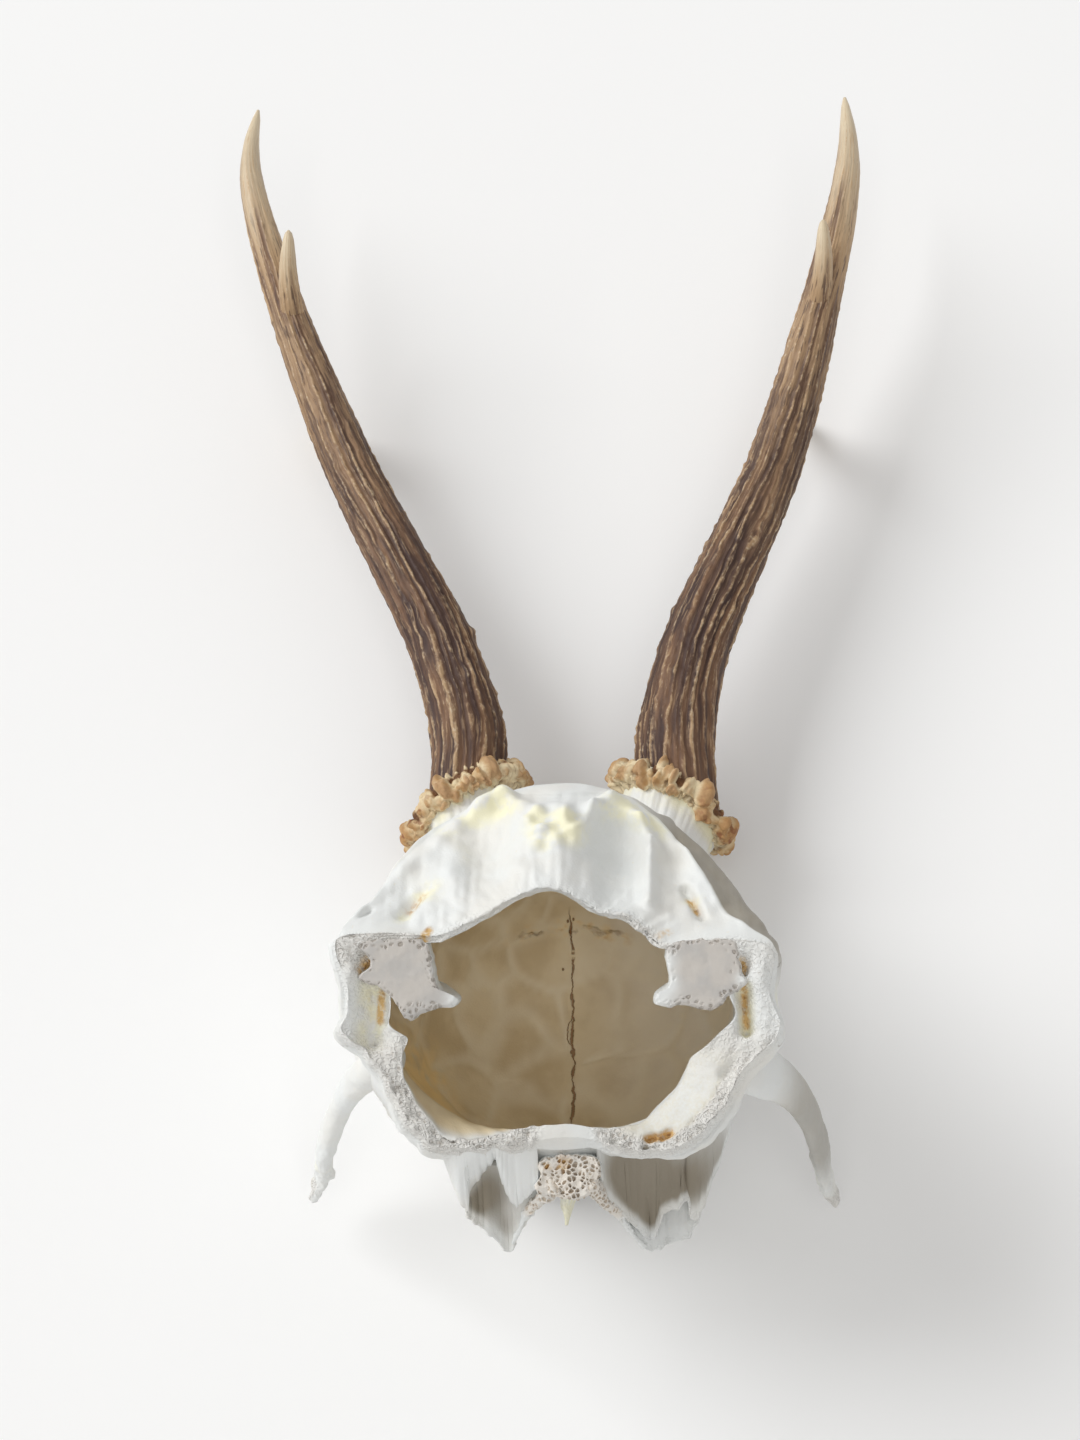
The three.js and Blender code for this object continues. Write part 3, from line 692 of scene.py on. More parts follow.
overhead = np.maximum(0, sin) ** 2
chatter = np.stack([cos, sin, 0 * sin], -1) * 20
rag = around(RAGGED, degrees)
clean_edge = around(CUT_OUTER, degrees)
edge = clean_edge + rag * grain(chatter, EDGE_GRAIN)
wall = around(CUT_WALL, degrees)
slope_side = smoothstep(degrees, 296, 310) * smoothstep(degrees, 352, 340)
inner_rag = rag * (1 - 0.85 * slope_side) * smoothstep(wall, 1, 3)
bared = edge - clean_edge + wall + 0.45 * inner_rag * noise(chatter, 1.3, 13)
fall = around(RIM_FALL, degrees)
inner_edge = cut_line(edge - bared, PLATE_EDGE * overhead + fall)
outer_edge = cut_line(edge, 0)
shoulder_radius = np.maximum(edge + CREST_STEP, around(SHOULDER_RADIUS, degrees))
shoulder_drop = around(CREST_DROP, degrees)
inset = np.minimum(around(CREST_INSET, degrees), shoulder_radius - edge - 0.6)
crest = cut_line(shoulder_radius - inset, shoulder_drop - CREST_INSET_DROP * inset)
shoulder = cut_line(shoulder_radius, shoulder_drop + SHOULDER_BELOW + 0.5 * inset)

inner_pole, front_pole = (np.tile(np.array(at, float), (MERIDIANS, 1))
                          for at in (INNER_POLE, FRONT_POLE))
inner = through([inner_pole] + [ring(*r) for r in INNER_RINGS] + [inner_edge], INNER_STEPS)
over_rim = climb(RIM_STEPS)
rim = inner_edge + (outer_edge - inner_edge) * over_rim
rim[..., 2] += fall * (over_rim[..., 0] ** 0.55 - over_rim[..., 0])
over_plate = climb(PLATE_STEPS)
plate = outer_edge + (crest - outer_edge) * over_plate
brow_edge, brow_middle = (brow_ring(*r) for r in BROW_RINGS)
outer = through([crest, shoulder] + [ring(*r) for r in OUTER_RINGS] + [brow_edge], OUTER_STEPS)[1:]
brow = outer[-1] + (brow_middle - outer[-1]) * climb(BROW_STEPS)
recess = through([brow[-1], ring(*RECESS_RING), front_pole], RECESS_STEPS)[1:]

stretches = (inner, rim, plate, outer, brow, recess)
INNER, RIM, PLATE, OUTER, BROW = range(5)
shell = np.concatenate(stretches)
rows_of = [len(stretch) for stretch in stretches]
zone = np.repeat(np.arange(len(stretches)), rows_of)[:, None] * np.ones((1, MERIDIANS))
print("rows:", len(shell), "in stretches of", rows_of)

# %% [markdown]
# ### The plate above the opening
# The back of the head carries the nape muscles. A lumpy knob stands in the middle under the crest,
# with a hollow on each side, a raised lip where the crest is, a sharp rib on the right, and two
# slots for veins. Each is a bell-shaped rise or hollow added to z, so their list reads like a
# survey of the bone: where, how far it reaches, how high.

# %% Relief of the plate
# Rows of x, y, reach along x, reach along y, height.
KNOB = [
    (-0.5, 49, 5.8, 3.6, 1.5), (-3.2, 50.6, 1.3, 1.5, 2.0), (-2.3, 45.9, 2.0, 1.3, 2.7),
    (1.5, 49.4, 1.3, 2.0, 2.5), (2.6, 45.7, 1.6, 1.3, 2.3), (-4.4, 48.1, 1.0, 1.2, 1.8),
    (0.0, 52.0, 1.8, 0.9, 0.8), (-6.2, 50.4, 1.1, 1.4, 0.9), (-3.0, 43.4, 1.5, 1.2, 1.7),
    (0.2, 43.6, 1.2, 1.4, 1.3), (3.4, 43.6, 1.2, 1.1, 1.2)]
HOLLOWS = [
    (-10.6, 43.5, 4.2, 8, -2.6), (8.8, 45.0, 3.9, 7.5, -3.4), (9.5, 37, 4.0, 6, -1.6),
    (18.4, 42.6, 2.3, 8, -2.0), (-19.0, 47.0, 1.5, 1.6, 0.9), (-17.6, 40.4, 1.8, 2.2, 0.8),
    (-20.5, 43.4, 1.6, 1.6, 0.6), (-27.8, 33.5, 3.2, 2.5, 0.7), (25.5, 31, 3, 3, -0.9),
    (-24, 37.5, 2.4, 2.4, -0.6)]
# Rows of start, end, width, height.
RIBS = [
    ((15.0, 46.4), (14.6, 33.4), 1.0, 1.9), ((-16.5, 46.0), (-15.6, 36.5), 1.9, 0.9),
    ((-5.9, 48), (-6.8, 40), 1.6, 0.8), ((0.4, 44), (1.0, 36), 2.0, 0.7),
    ((-5.0, 55.6), (6.4, 55.6), 2.6, -1.5)]
SLOTS = [
    ((-20.9, 37.2), (-24.1, 32.3), 1.15, -1.4), ((20.4, 37.4), (22.7, 31.4), 0.8, -2.2),
    ((-29.2, 33.3), (-30.7, 32.0), 0.4, -0.8)]
LIPS = [
    ((-5.6, 52.5), (-8.9, 56.2), 1.5, 1.9), ((-8.9, 56.2), (-12.2, 54.2), 1.8, 1.8),
    ((-12.2, 54.2), (-16.2, 50.3), 1.8, 1.4), ((-16.2, 50.3), (-24.5, 41.8), 1.6, 1.0),
    ((-24.5, 41.8), (-31.4, 33.4), 1.6, 0.8), ((4.0, 45.6), (6.1, 52.2), 1.3, 2.3),
    ((6.1, 52.2), (8.6, 54.8), 1.5, 2.1), ((8.6, 54.8), (13.3, 51.0), 1.7, 1.8),
    ((13.3, 51.0), (15.0, 46.4), 1.2, 1.9), ((16.4, 51.6), (20.6, 45.0), 1.3, 0.9),
    ((20.6, 45.0), (25.8, 35.0), 1.3, 0.8)]
PLATE_GRAIN = [(0.20, (0.8, 6.0, 1), 21), (0.34, (2.6, 9.0, 1), 22)]


def plate_relief(xy):
    """Rises and hollows of the plate, in mm, from the lists above."""
    total = sum(mound(xy, (x, y), (a, b), height) for x, y, a, b, height in KNOB + HOLLOWS)
    flat = np.concatenate([xy, 0 * xy[..., :1]], -1)
    return (total + grooves(xy, RIBS + SLOTS + LIPS) + grain(flat, PLATE_GRAIN)
            + 0.16 * layered(flat, 1.7, 23))


xy = shell[..., :2]
above = smoothstep(shell[..., 1], 26, 33)
along_plate = np.zeros(zone.shape)
along_plate[zone[:, 0] == PLATE] = over_plate[..., 0]
along_plate[zone[:, 0] > PLATE] = 1
fade_in = smoothstep(along_plate * np.linalg.norm(crest - outer_edge, axis=-1), 0, 2.5)
behind_crest = np.zeros(zone.shape)
behind_crest[zone[:, 0] == OUTER] = smoothstep(np.arange(rows_of[OUTER]), 15, 0)[:, None]
on_plate = ((zone == PLATE) + behind_crest) * above
under_plate = (zone == INNER) * above * smoothstep(shell[..., 2], 44, 60)
relief = plate_relief(xy)
shell[..., 2] += relief * fade_in * on_plate + np.minimum(relief, 0) * under_plate
shown = relief[zone[:, 0] == PLATE]
print("plate relief:", shown.min().round(1), "to", shown.max().round(1), "mm")

# %% [markdown]
# ### Sponge, hollows and the outer face
# Where the saw went through thick bone the sponge shows: walls a tenth of a millimetre thick round
# cells of about one. The cell noise gives it. Near both joints of the jaw the wall is hollow, with
# orange marrow left in it. Outside, temporal lines run forward from the crest to the pedicles, the
# temple is a shallow hollow, and each ear has its bony mouth.

# %% Relief of the rim, the inside and the outside
WALL_HOLES = [
    ((-29.8, 24.0), (-29.4, 24.6), 1.3, -3.6), ((-29.0, 14.8), (-28.6, 20.6), 2.3, -4.2),
    ((-26.2, 17.0), (-26.0, 19.8), 1.0, -2.5), ((28.9, 22.6), (29.2, 23.4), 0.9, -3.2),
    ((29.3, 14.8), (28.9, 19.4), 1.2, -3.6), ((25.6, 8.6), (26.6, 9.2), 0.9, -1.5),
    ((13.9, -0.2), (14.5, 0.1), 0.6, -1.8), ((16.0, 0.2), (16.9, 0.6), 0.6, -1.8),
    ((-31.6, 22.8), (-32.6, 22.2), 0.8, 0.8), ((31.6, 20.6), (31.8, 24.6), 1.3, 0.9)]
EAR_MOUTH = (33.0, 19.5, 45.0)
# Rows of centre, reach, height, and of start, end, width, height. Both sides get them.
OUTER_MOUNDS = [
    ((29.5, 20, 46), (5, 5, 5), 1.6), (EAR_MOUTH, (3.2, 3.2, 3.2), 1.8),
    (EAR_MOUTH, (1.7, 1.7, 1.7), -5.5), ((29, 40, 34), (8, 9, 14), -2.2),
    ((27, 10, 40), (6, 5, 6), 1.4), ((22, 3, 46), (5, 4, 6), 1.8),
    ((16.5, 63, 17.5), (10.5, 9, 10.5), 2.6), ((30, 15, 50), (4, 5, 5), 1.6),
    ((18, 62, 9), (1.4, 2, 1.4), -1.2), ((0, 66, 34), (10, 4, 12), 1.2),
    ((9, 1, 31), (1.5, 3, 1.5), -1.8), ((12, 4, 21), (1.8, 3, 1.4), -1.8),
    ((26, 50, 16), (1.1, 1.5, 1.1), -1.2)]
OUTER_RIDGES = [
    ((5, -3, 50), (14, -2.6, 49), 4.0, -2.2), ((14, -2.6, 49), (22, 0.5, 49), 4.0, -2.0),
    ((15.5, 63.5, 12), (12.5, 65, 30), 2.0, 1.2), ((12.5, 65, 30), (15.5, 61, 45), 1.9, 1.2),
    ((15.5, 61, 45), (18, 55, 56), 1.9, 1.1), ((31, 22, 60), (31, 23, 42), 2.4, 1.6),
    ((31, 23, 42), (28, 30, 22), 2.6, 1.2), ((18, 61, 9), (15, 64, 2), 1.0, -1.2),
    ((27, 46, 16), (29, 33, 10), 0.9, -0.7), ((29, 52, 46), (30, 38, 40), 0.7, -0.6)]
OUTER_GRAIN = [(0.60, 11, 51), (0.24, 4, 52), (0.07, 1.6, 53)]
INNER_GRAIN = [(-0.25, 7, 45), (0.10, 2.4, 46)]
VEIN_WARP = 2.5

normal = outward(shell)
across = np.linalg.norm(shell[..., :2] - [0, CUT_CENTRE_Y], axis=-1)
smooth_slope = smoothstep(edge - across, 1.6, 3.2) * slope_side
on_rim = (zone == RIM).astype(float)
on_step = np.zeros(zone.shape)
on_step[zone[:, 0] == RIM] = over_rim[..., 0]
border = smoothstep(on_step * bared, 0, 0.5) * smoothstep((1 - on_step) * bared, -0.1, 0.35)
spongy = on_rim * around(SPONGE, degrees) * (1 - smooth_slope)
pit = spongy * holes(shell, 1.15, 31, (0.10, 0.55), 0.75) * border
coarse, next_coarse = cells(shell, 2.3, 32)
cave = spongy * smoothstep(next_coarse - coarse, 0.35, 0.8) * border
push = spongy * 0.50 * layered(shell, 1.7, 33) - pit * 0.40 - cave * 0.85
push += on_rim * smooth_slope * (0.16 * layered(shell, 4.0, 34) + 0.07 * noise(shell, 0.8, 35))
lip = np.exp(-((across - edge) / 1.3) ** 2) * (zone > INNER) * (zone < BROW) * rag
push += lip * (0.30 * layered(shell, 1.5, 36) + 0.10 * noise(shell, 0.6, 37))

within = (zone == INNER).astype(float)
warped = shell + VEIN_WARP * np.stack([noise(shell, 9, 40 + k) for k in range(3)], -1)
low, high = cells(warped, 10.5, 44)
vein = within * smoothstep(high - low, 0.26, 0.0) * smoothstep(shell[..., 2], 52, 40)
push -= within * (0.45 * vein + grain(shell, INNER_GRAIN))

outside = ((zone == OUTER) | (zone == BROW)).astype(float)
mirrored = np.abs(shell) * [1, 0, 0] + shell * [0, 1, 1]
push += outside * (mounds(mirrored, OUTER_MOUNDS) + grooves(mirrored, OUTER_RIDGES))
push += outside * grain(shell, OUTER_GRAIN)
shell = shell + normal * push[..., None]
deep = grooves(xy, WALL_HOLES) * on_rim * border
shell[..., 2] = np.maximum(shell[..., 2] + deep, 0)
print("highest rise", push.max().round(1), "mm, deepest hollow", deep.min().round(1), "mm")

# %% [markdown]
# ### Masks for the finish
# Each mask is a number from 0 to 1 kept at every point of the grid: how much the point belongs to
# the cavity, to sawn bone, to a stain. The shader turns them into colour.

# %% Masks and the finished braincase
# Rows of x, y, radius, strength.
CREAM_SPOTS = [
    (-2.4, 46.8, 2.8, 0.8), (2.2, 48.0, 3.0, 0.8), (-1.8, 43.8, 2.4, 0.7), (2.6, 44.4, 2.2, 0.6),
    (-4.0, 50.2, 2.4, 0.6), (-10.4, 54.8, 3.4, 0.9), (-13.4, 52.0, 2.6, 0.8), (-8.2, 52.6, 2.2, 0.6),
    (7.6, 53.0, 2.4, 0.7), (14.4, 50.4, 2.2, 0.7), (-17.7, 49.6, 2.6, 0.6), (11.6, 53.2, 3.0, 0.8),
    (17.0, 49.0, 2.0, 0.5), (-20.6, 37.0, 2.6, 0.9), (-24, 32, 2.0, 0.6), (21, 35, 1.8, 0.7),
    (-14.5, 44, 2.5, 0.35), (-27, 29, 2.5, 0.3), (27, 20, 2.4, 0.6)]
ORANGE_CELLS = [
    ((-20.7, 27.3), (-19.8, 28.8), 0.7, 0.9), ((16.0, 27.4), (17.6, 28.2), 0.8, 0.4),
    ((13.2, -0.4), (17.4, 0.6), 0.8, 0.5), ((13.9, -0.2), (14.5, 0.1), 0.6, 0.9),
    ((16.0, 0.2), (16.9, 0.6), 0.6, 0.9), ((-27.9, 17.4), (-27.6, 20.8), 0.7, 0.9),
    ((29.3, 15.8), (29.0, 20.6), 0.6, 0.8), ((28.6, 22.4), (28.9, 23.6), 0.7, 1.0),
    ((-21.2, 36.2), (-23.0, 33.6), 1.0, 0.5), ((20.9, 35.2), (21.8, 32.8), 0.7, 0.8),
    ((-30.2, 23.6), (-29.4, 24.8), 1.0, 1.0)]
WALL_CREAM = [((-29.4, 14.2), (-28.8, 21.2), 2.2, 0.9), ((29.3, 14.6), (29.0, 20.0), 1.3, 0.9)]
OCHRE_PATCHES = [
    ((-24, 22, 28), (6, 9, 16), 1.0), ((-20, 12, 34), (7, 6, 14), 1.0), ((-12, 12, 22), (5, 6, 9), 0.8),
    ((-18, 4, 46), (8, 3, 8), 0.7), ((-4, 12, 15), (3, 7, 5), 0.6), ((-27, 18, 48), (3, 6, 8), 0.9)]
PEACH_PATCHES = [((19.5, 27.8, 62), (2.6, 2.6, 14), 1.0), ((-21, 27.5, 64), (1.8, 2.2, 10), 0.7)]

x, y, z = np.moveaxis(shell, -1, 0)
xy = shell[..., :2]
into = np.linalg.norm(shell - inner_edge, axis=-1)
# painted light: on the right inner wall white bone shows further into the cavity, where the lamp falls
painted_light_wall = smoothstep(x, 15, 23) * smoothstep(y, 27, 20)
sponge_seen = on_rim * around(SPONGE, degrees) * (1 - 0.5 * smooth_slope)
masks = {
    "inside": within * smoothstep(into, 0.3 + slope_side, 3.5 + 7 * slope_side + 14 * painted_light_wall),
    "outer": outside,
    "sawn": np.maximum.reduce([sponge_seen, lip * (zone == PLATE) * 0.7, (zone == BROW) * 0.9]),
    # the second term is painted shade: wall holes darker the deeper they are
    "pit": pit + 0.25 * on_rim * smoothstep(-deep, 0.5, 3.5),
    "cream": spots(xy, CREAM_SPOTS) * on_plate + grooves(xy, WALL_CREAM) * on_rim,
    "orange": grooves(xy, ORANGE_CELLS) * ((zone == RIM) | (zone == PLATE)),
    "ochre": within * mounds(shell, OCHRE_PATCHES),
    "peach": within * mounds(shell, PEACH_PATCHES),
    "smooth": on_rim * smooth_slope,
    "vein": vein,
    # painted shade: a grey-brown coat on the right of the outer face, which turns away from the lamp
    "dust": 0.85 * outside * smoothstep(x, 8, 20) * smoothstep(z, 30, 60) * smoothstep(y, 16, 30)}
braincase = round_piece("braincase", shell, **{k: np.clip(v, 0, 1) for k, v in masks.items()})
dress(braincase, "bone", bone, "occipital", "parietal", "frontal_left", "frontal_right",
      "temporal_left", "temporal_right", "sphenoid")

# %% [markdown]
# ## Floor, light and camera
# The floor and the background are plain and pale. One large soft lamp stands to the upper left, as
# a window would, and a weaker one in front reaches into the opening. The sky is brighter for the
# camera than for the bones, and the floor, 30 m wide, begins to glow a metre out. So nothing dark
# shows behind the skull from any side, and the shade on it stays soft. The camera looks down along
# the line that the saw cut faces.

# %% The stage
CAMERA_MM = (14.784, -144.936, 467.686)
LOOK = (-0.03851, 0.46947, -0.88211)
CAMERA_UP = (0.02048, 0.88295, 0.46902)
LENS_MM = 69.35
# Name, place, size, watts, colour.
LAMPS = [("window", (-5.0, 2.25, 4.25), 4.2, 308.0, (0.985, 0.995, 1.0)),
         ("front", (0.25, -3.0, 5.5), 4.0, 70.0, (1.0, 0.985, 0.96))]
LAMP_AIM = (0.0, -0.03, 0.04)
SKY_COLOUR = (1.0, 0.99, 0.975, 1.0)
SKY_LIGHT = 0.49
SKY_SEEN = 0.93
FLOOR_HALF = 15.0
FLOOR_MM = 2.0
FLOOR_TONES = ((0.93, 0.93, 0.93), (0.945, 0.945, 0.945))
FLOOR_GLOW = (0.42, 0.42, 0.415)
GLOW_FROM, GLOW_FULL = 1200, 7500


def facing(place, side, up, back):
    """The matrix that puts something at a place in metres with these three axes."""
    pose = np.eye(4)
    pose[:3, :3] = np.stack([side, up, back], -1)
    pose[:3, 3] = place
    return Matrix(pose.tolist())


view = np.array(LOOK) / np.linalg.norm(LOOK)
side = np.cross(view, CAMERA_UP)
side /= np.linalg.norm(side)
camera = bpy.data.objects.new("camera", bpy.data.cameras.new("camera"))
camera.data.lens = LENS_MM
camera.data.sensor_width = 36
camera.data.clip_start = 0.01
camera.matrix_world = facing(np.array(CAMERA_MM) * MM + ORIGIN, side, np.cross(side, view), -view)
bpy.context.scene.collection.objects.link(camera)
bpy.context.scene.camera = camera

for name, place, size, watts, colour in LAMPS:
    lamp = bpy.data.objects.new(name, bpy.data.lights.new(name, "AREA"))
    lamp.data.size = size
    lamp.data.energy = watts
    lamp.data.color = colour
    back = np.subtract(place, LAMP_AIM) / np.linalg.norm(np.subtract(place, LAMP_AIM))
    side = np.cross((0.0, 1.0, 0.1), back)
    side /= np.linalg.norm(side)
    lamp.matrix_world = facing(place, side, np.cross(back, side), back)
    bpy.context.scene.collection.objects.link(lamp)

world = bpy.data.worlds.new("studio")
bpy.context.scene.world = world
world.use_nodes = True
background = world.node_tree.nodes["Background"]
background.inputs["Color"].default_value = SKY_COLOUR
rays = world.node_tree.nodes.new("ShaderNodeLightPath")
backdrop = world.node_tree.nodes.new("ShaderNodeMapRange")
backdrop.inputs["To Min"].default_value = SKY_LIGHT
backdrop.inputs["To Max"].default_value = SKY_SEEN
world.node_tree.links.new(rays.outputs["Is Camera Ray"], backdrop.inputs["Value"])
world.node_tree.links.new(backdrop.outputs["Result"], background.inputs["Strength"])
bpy.context.scene.view_settings.view_transform = "Standard"

corner = np.linspace(-FLOOR_HALF, FLOOR_HALF, 13) / MM
floor_grid = np.stack(np.meshgrid(corner, corner, [0.0], indexing="ij"), -1)[:, :, 0] - ORIGIN / MM
floor = thin_piece("floor", floor_grid - [0, 0, FLOOR_MM / 2], np.full((13, 13), FLOOR_MM))
f = Finish("pale_floor", {"Specular IOR Level": 0.1, "Emission Strength": 1.0})
distance = (f.axis("X") ** 2 + f.axis("Y") ** 2) ** 0.5
glow = f.mix(distance.step(GLOW_FROM, GLOW_FULL), (0.0, 0.0, 0.0), FLOOR_GLOW)
f.tree.links.new(glow.socket, f.shader.inputs["Emission Color"])
f.connect(f.mix(f.cloud(90.0), *FLOOR_TONES), f.cloud(50.0) * 0.1 + 0.8, f.cloud(2.0) * 0.01)
floor.data.materials.append(f.material)
print("camera", round(CAMERA_MM[2]), "mm over the floor")

# %% [markdown]
# ## Sawn slabs: the ear bones and the block of the basisphenoid
# The ear bones are the hardest in the body and hold the inner ear. The saw went through both, so
# each shows a flat greyish pink face with a porous border, and a smooth white wall. The block below
# the opening is the sawn basisphenoid, all sponge. Both kinds are an outline that shrinks to a point
# on its sawn face, turns over a worn edge, and runs back into the skull.

# %% Sawn slabs
FACE_ROWS = 52
WALL_ROWS = 26
SAWN_TURNS = 300


def sawn_slab(name, corners, centre, drop, depth, taper, lift, cell, sponge, white, seed):
    """A closed slab: rows of the outline shrink to its centre on the sawn face, and the wall runs
    forward, narrowing by the taper and rising by the lift for each mm. z on the face follows
    the saw plane, drop mm below it."""
    rim_line = outline(corners, SAWN_TURNS)
    flat = np.concatenate([rim_line, 0 * rim_line[:, :1]], -1)
    away = rim_line - centre
    away /= np.linalg.norm(away, axis=1, keepdims=True)
    push = grain(flat, [(0.22, 1.4, seed), (0.13, 0.6, seed + 1)])
    spread = rim_line + away * push[:, None] - centre
    share = np.linspace(0, 1, FACE_ROWS)[:, None, None] ** 0.8
    back = np.linspace(0, 1, WALL_ROWS)[1:, None, None]
    swell = 1 + 0.10 * np.sin(np.pi * back) - (1 - taper) * back ** 1.5
    plan = centre + np.concatenate([spread * share, spread * swell, 0 * spread[None]])
    inset = np.concatenate([share[..., 0], 1 + 0 * back[..., 0], [[1.0]]])
    far = np.concatenate([0 * share[..., 0], back[..., 0], [[1.0]]])
    worn = smoothstep(inset, 0.93, 1.0) * 0.35
    z = SAW_Z + SAW_SLOPE * plan[..., 1] - drop - worn - far * depth
    grid = np.stack([plan[..., 0], plan[..., 1] + far * depth * lift, z], -1)
    on_face = (far == 0) * np.ones(grid.shape[:2])
    border = smoothstep(inset + 0.16 * noise(grid, 1.8, seed + 3), 0.66, 0.98)
    spongy = on_face * np.clip(sponge + (1 - sponge) * 0.8 * border, 0, 1)
    hole = spongy * holes(grid + 0.25 * noise(grid, 1.0, seed + 6)[..., None], cell, seed + 2)
    grid[..., 2] -= hole * (0.35 + 0.30 * sponge)
    lumps = 0.10 * layered(grid, 2.6, seed + 4) + 0.35 * sponge * layered(grid, 1.3, seed + 5)
    grid[..., 2] += on_face * lumps
    clean = np.clip(spots(grid[..., :2], white) + 0 * hole, 0, 1)
    return round_piece(name, grid, sawn=on_face * (1 - clean), pit=hole * (1 - clean),
                       face=on_face, clean=clean * on_face)


PETROSAL_OUTLINE = {
    "left": [(-31.9, 27), (-27, 27.4), (-20.6, 27), (-19.6, 25.3), (-19.2, 23.3), (-18.8, 21.1),
             (-17.8, 19.8), (-15.4, 19.0), (-15.9, 18.3), (-18.9, 17.6), (-21.2, 16.9), (-23.5, 16.2),
             (-25.2, 18.6), (-27.8, 20.7), (-29.7, 21.5), (-30.6, 22.2), (-29.2, 23.3), (-28.9, 24.3),
             (-29.6, 25.3), (-30.8, 26.3)],
    "right": [(17.3, 25.9), (20.7, 26.4), (24.6, 26.6), (28.0, 26.2), (28.3, 23.9), (28.7, 21.7),
              (29.4, 20.6), (28.2, 19.7), (26.4, 18.6), (24.7, 17.2), (21.9, 17.1), (18.8, 17.7),
              (17, 17.4), (15.4, 18.1), (15.5, 19.2), (16.4, 19.6), (17.5, 20.6), (17.3, 23)]}
PETROSAL_CENTRE = {"left": (-24.4, 22.6), "right": (23.0, 21.8)}
PETROSAL_WHITE = {
    "left": [(-15.8, 18.8, 1.6, 1.0), (-18.6, 23, 0.8, 1.0)],
    "right": [(15.8, 18.6, 2.3, 1.0), (17.2, 23.5, 1.5, 1.0), (17.6, 20.6, 1.3, 1.0),
              (28.6, 21, 1.0, 1.0)]}
PETROSAL_DROP = -0.25
BLOCK_OUTLINE = [(-3.6, -3.4), (-2.6, -2.4), (-0.1, -1.9), (3.0, -2.0), (5.6, -2.7), (6.1, -4.3),
                 (5.1, -6.1), (4.4, -7.4), (2.1, -8.0), (-0.3, -7.8), (-2.8, -7.4),
                 (-4.2, -6.6), (-3.3, -4.8)]
BLOCK_CENTRE = (1.0, -5.0)
BLOCK_DROP = 1.9


def sawn_finish(name, wall, cell, cell_size, orange):
    """Sawn bone: pale walls round darker cells, with orange marrow near given places."""
    f = Finish(name, {"Specular IOR Level": 0.3})
    fine = f.cloud(0.35, 3.0)
    pit = f.mask("pit").step(0.02, 0.4)
    shade = [tone * share for tone, share in zip(wall, (0.88, 0.90, 0.925))]
    colour = f.coats(
        wall,
        (f.cloud(3.2, 3.0, seed=1.0).step(0.36, 0.64), shade),
        (fine.step(0.60, 0.72) * 0.1, cell),
        (pit * 0.6, cell),
        ((1 - f.mask("face")).step(0.3, 0.8), BONE_WHITE),
        (f.mask("clean"), BONE_WHITE))
    marrow = f.mix(f.cloud(0.7, 2.0, seed=3.0).step(0.4, 0.6), ORANGE, RUST)
    x, y = f.axis("X"), f.axis("Y")
    for at_x, at_y, radius in orange:
        off = ((x - at_x) ** 2 + (y - at_y) ** 2) ** 0.5
        spot = (off + f.cloud(0.9, 2.0, seed=8.0) * 1.6 - 0.8).step(radius, radius * 0.35)
        colour = f.mix(spot * f.mask("sawn") * (0.45 + pit * 0.55), colour, marrow)
    height = fine * 0.03 - f.pores(cell_size).step(0.02, 0.2) * 0.12 * pit * f.mask("sawn")
    return f.connect(colour, f.cloud(2.0) * 0.1 + 0.66, height + f.cloud(1.6) * 0.08)


ear_bone = sawn_finish("ear_bone", (0.60, 0.565, 0.525), (0.50, 0.45, 0.39), 0.5, [])
block_bone = sawn_finish("sponge_bone", (0.78, 0.73, 0.66), (0.60, 0.49, 0.37), 0.7,
                         [(0.4, -3.2, 1.6), (-2.2, -3.4, 0.8)])
for side, seed in (("left", 61), ("right", 71)):
    slab = sawn_slab(f"ear_bone_{side}", PETROSAL_OUTLINE[side], PETROSAL_CENTRE[side],
                     drop=PETROSAL_DROP, depth=9.5, taper=0.72, lift=0.55, cell=0.9, sponge=0.0,
                     white=PETROSAL_WHITE[side], seed=seed)
    dress(slab, "sawn_bone", ear_bone, f"petrosal_{side}")
block = sawn_slab("sphenoid_block", BLOCK_OUTLINE, BLOCK_CENTRE, drop=BLOCK_DROP, depth=18.0,
                  taper=0.8, lift=0.42, cell=0.8, sponge=1.0, white=[], seed=81)
dress(block, "sawn_bone", block_bone, "basisphenoid")

# %% [markdown]
# ## Torn plates below the opening
# The pterygoid plates are bone as thin as card, and the saw and the boiling tore them. Each is a
# sheet between a root inside the skull and a torn free edge, drawn point by point. One coordinate
# runs along the plate and the other from root to edge, with a hollow in between. The grid is then
# closed into a real thickness, which thins out towards the tear.

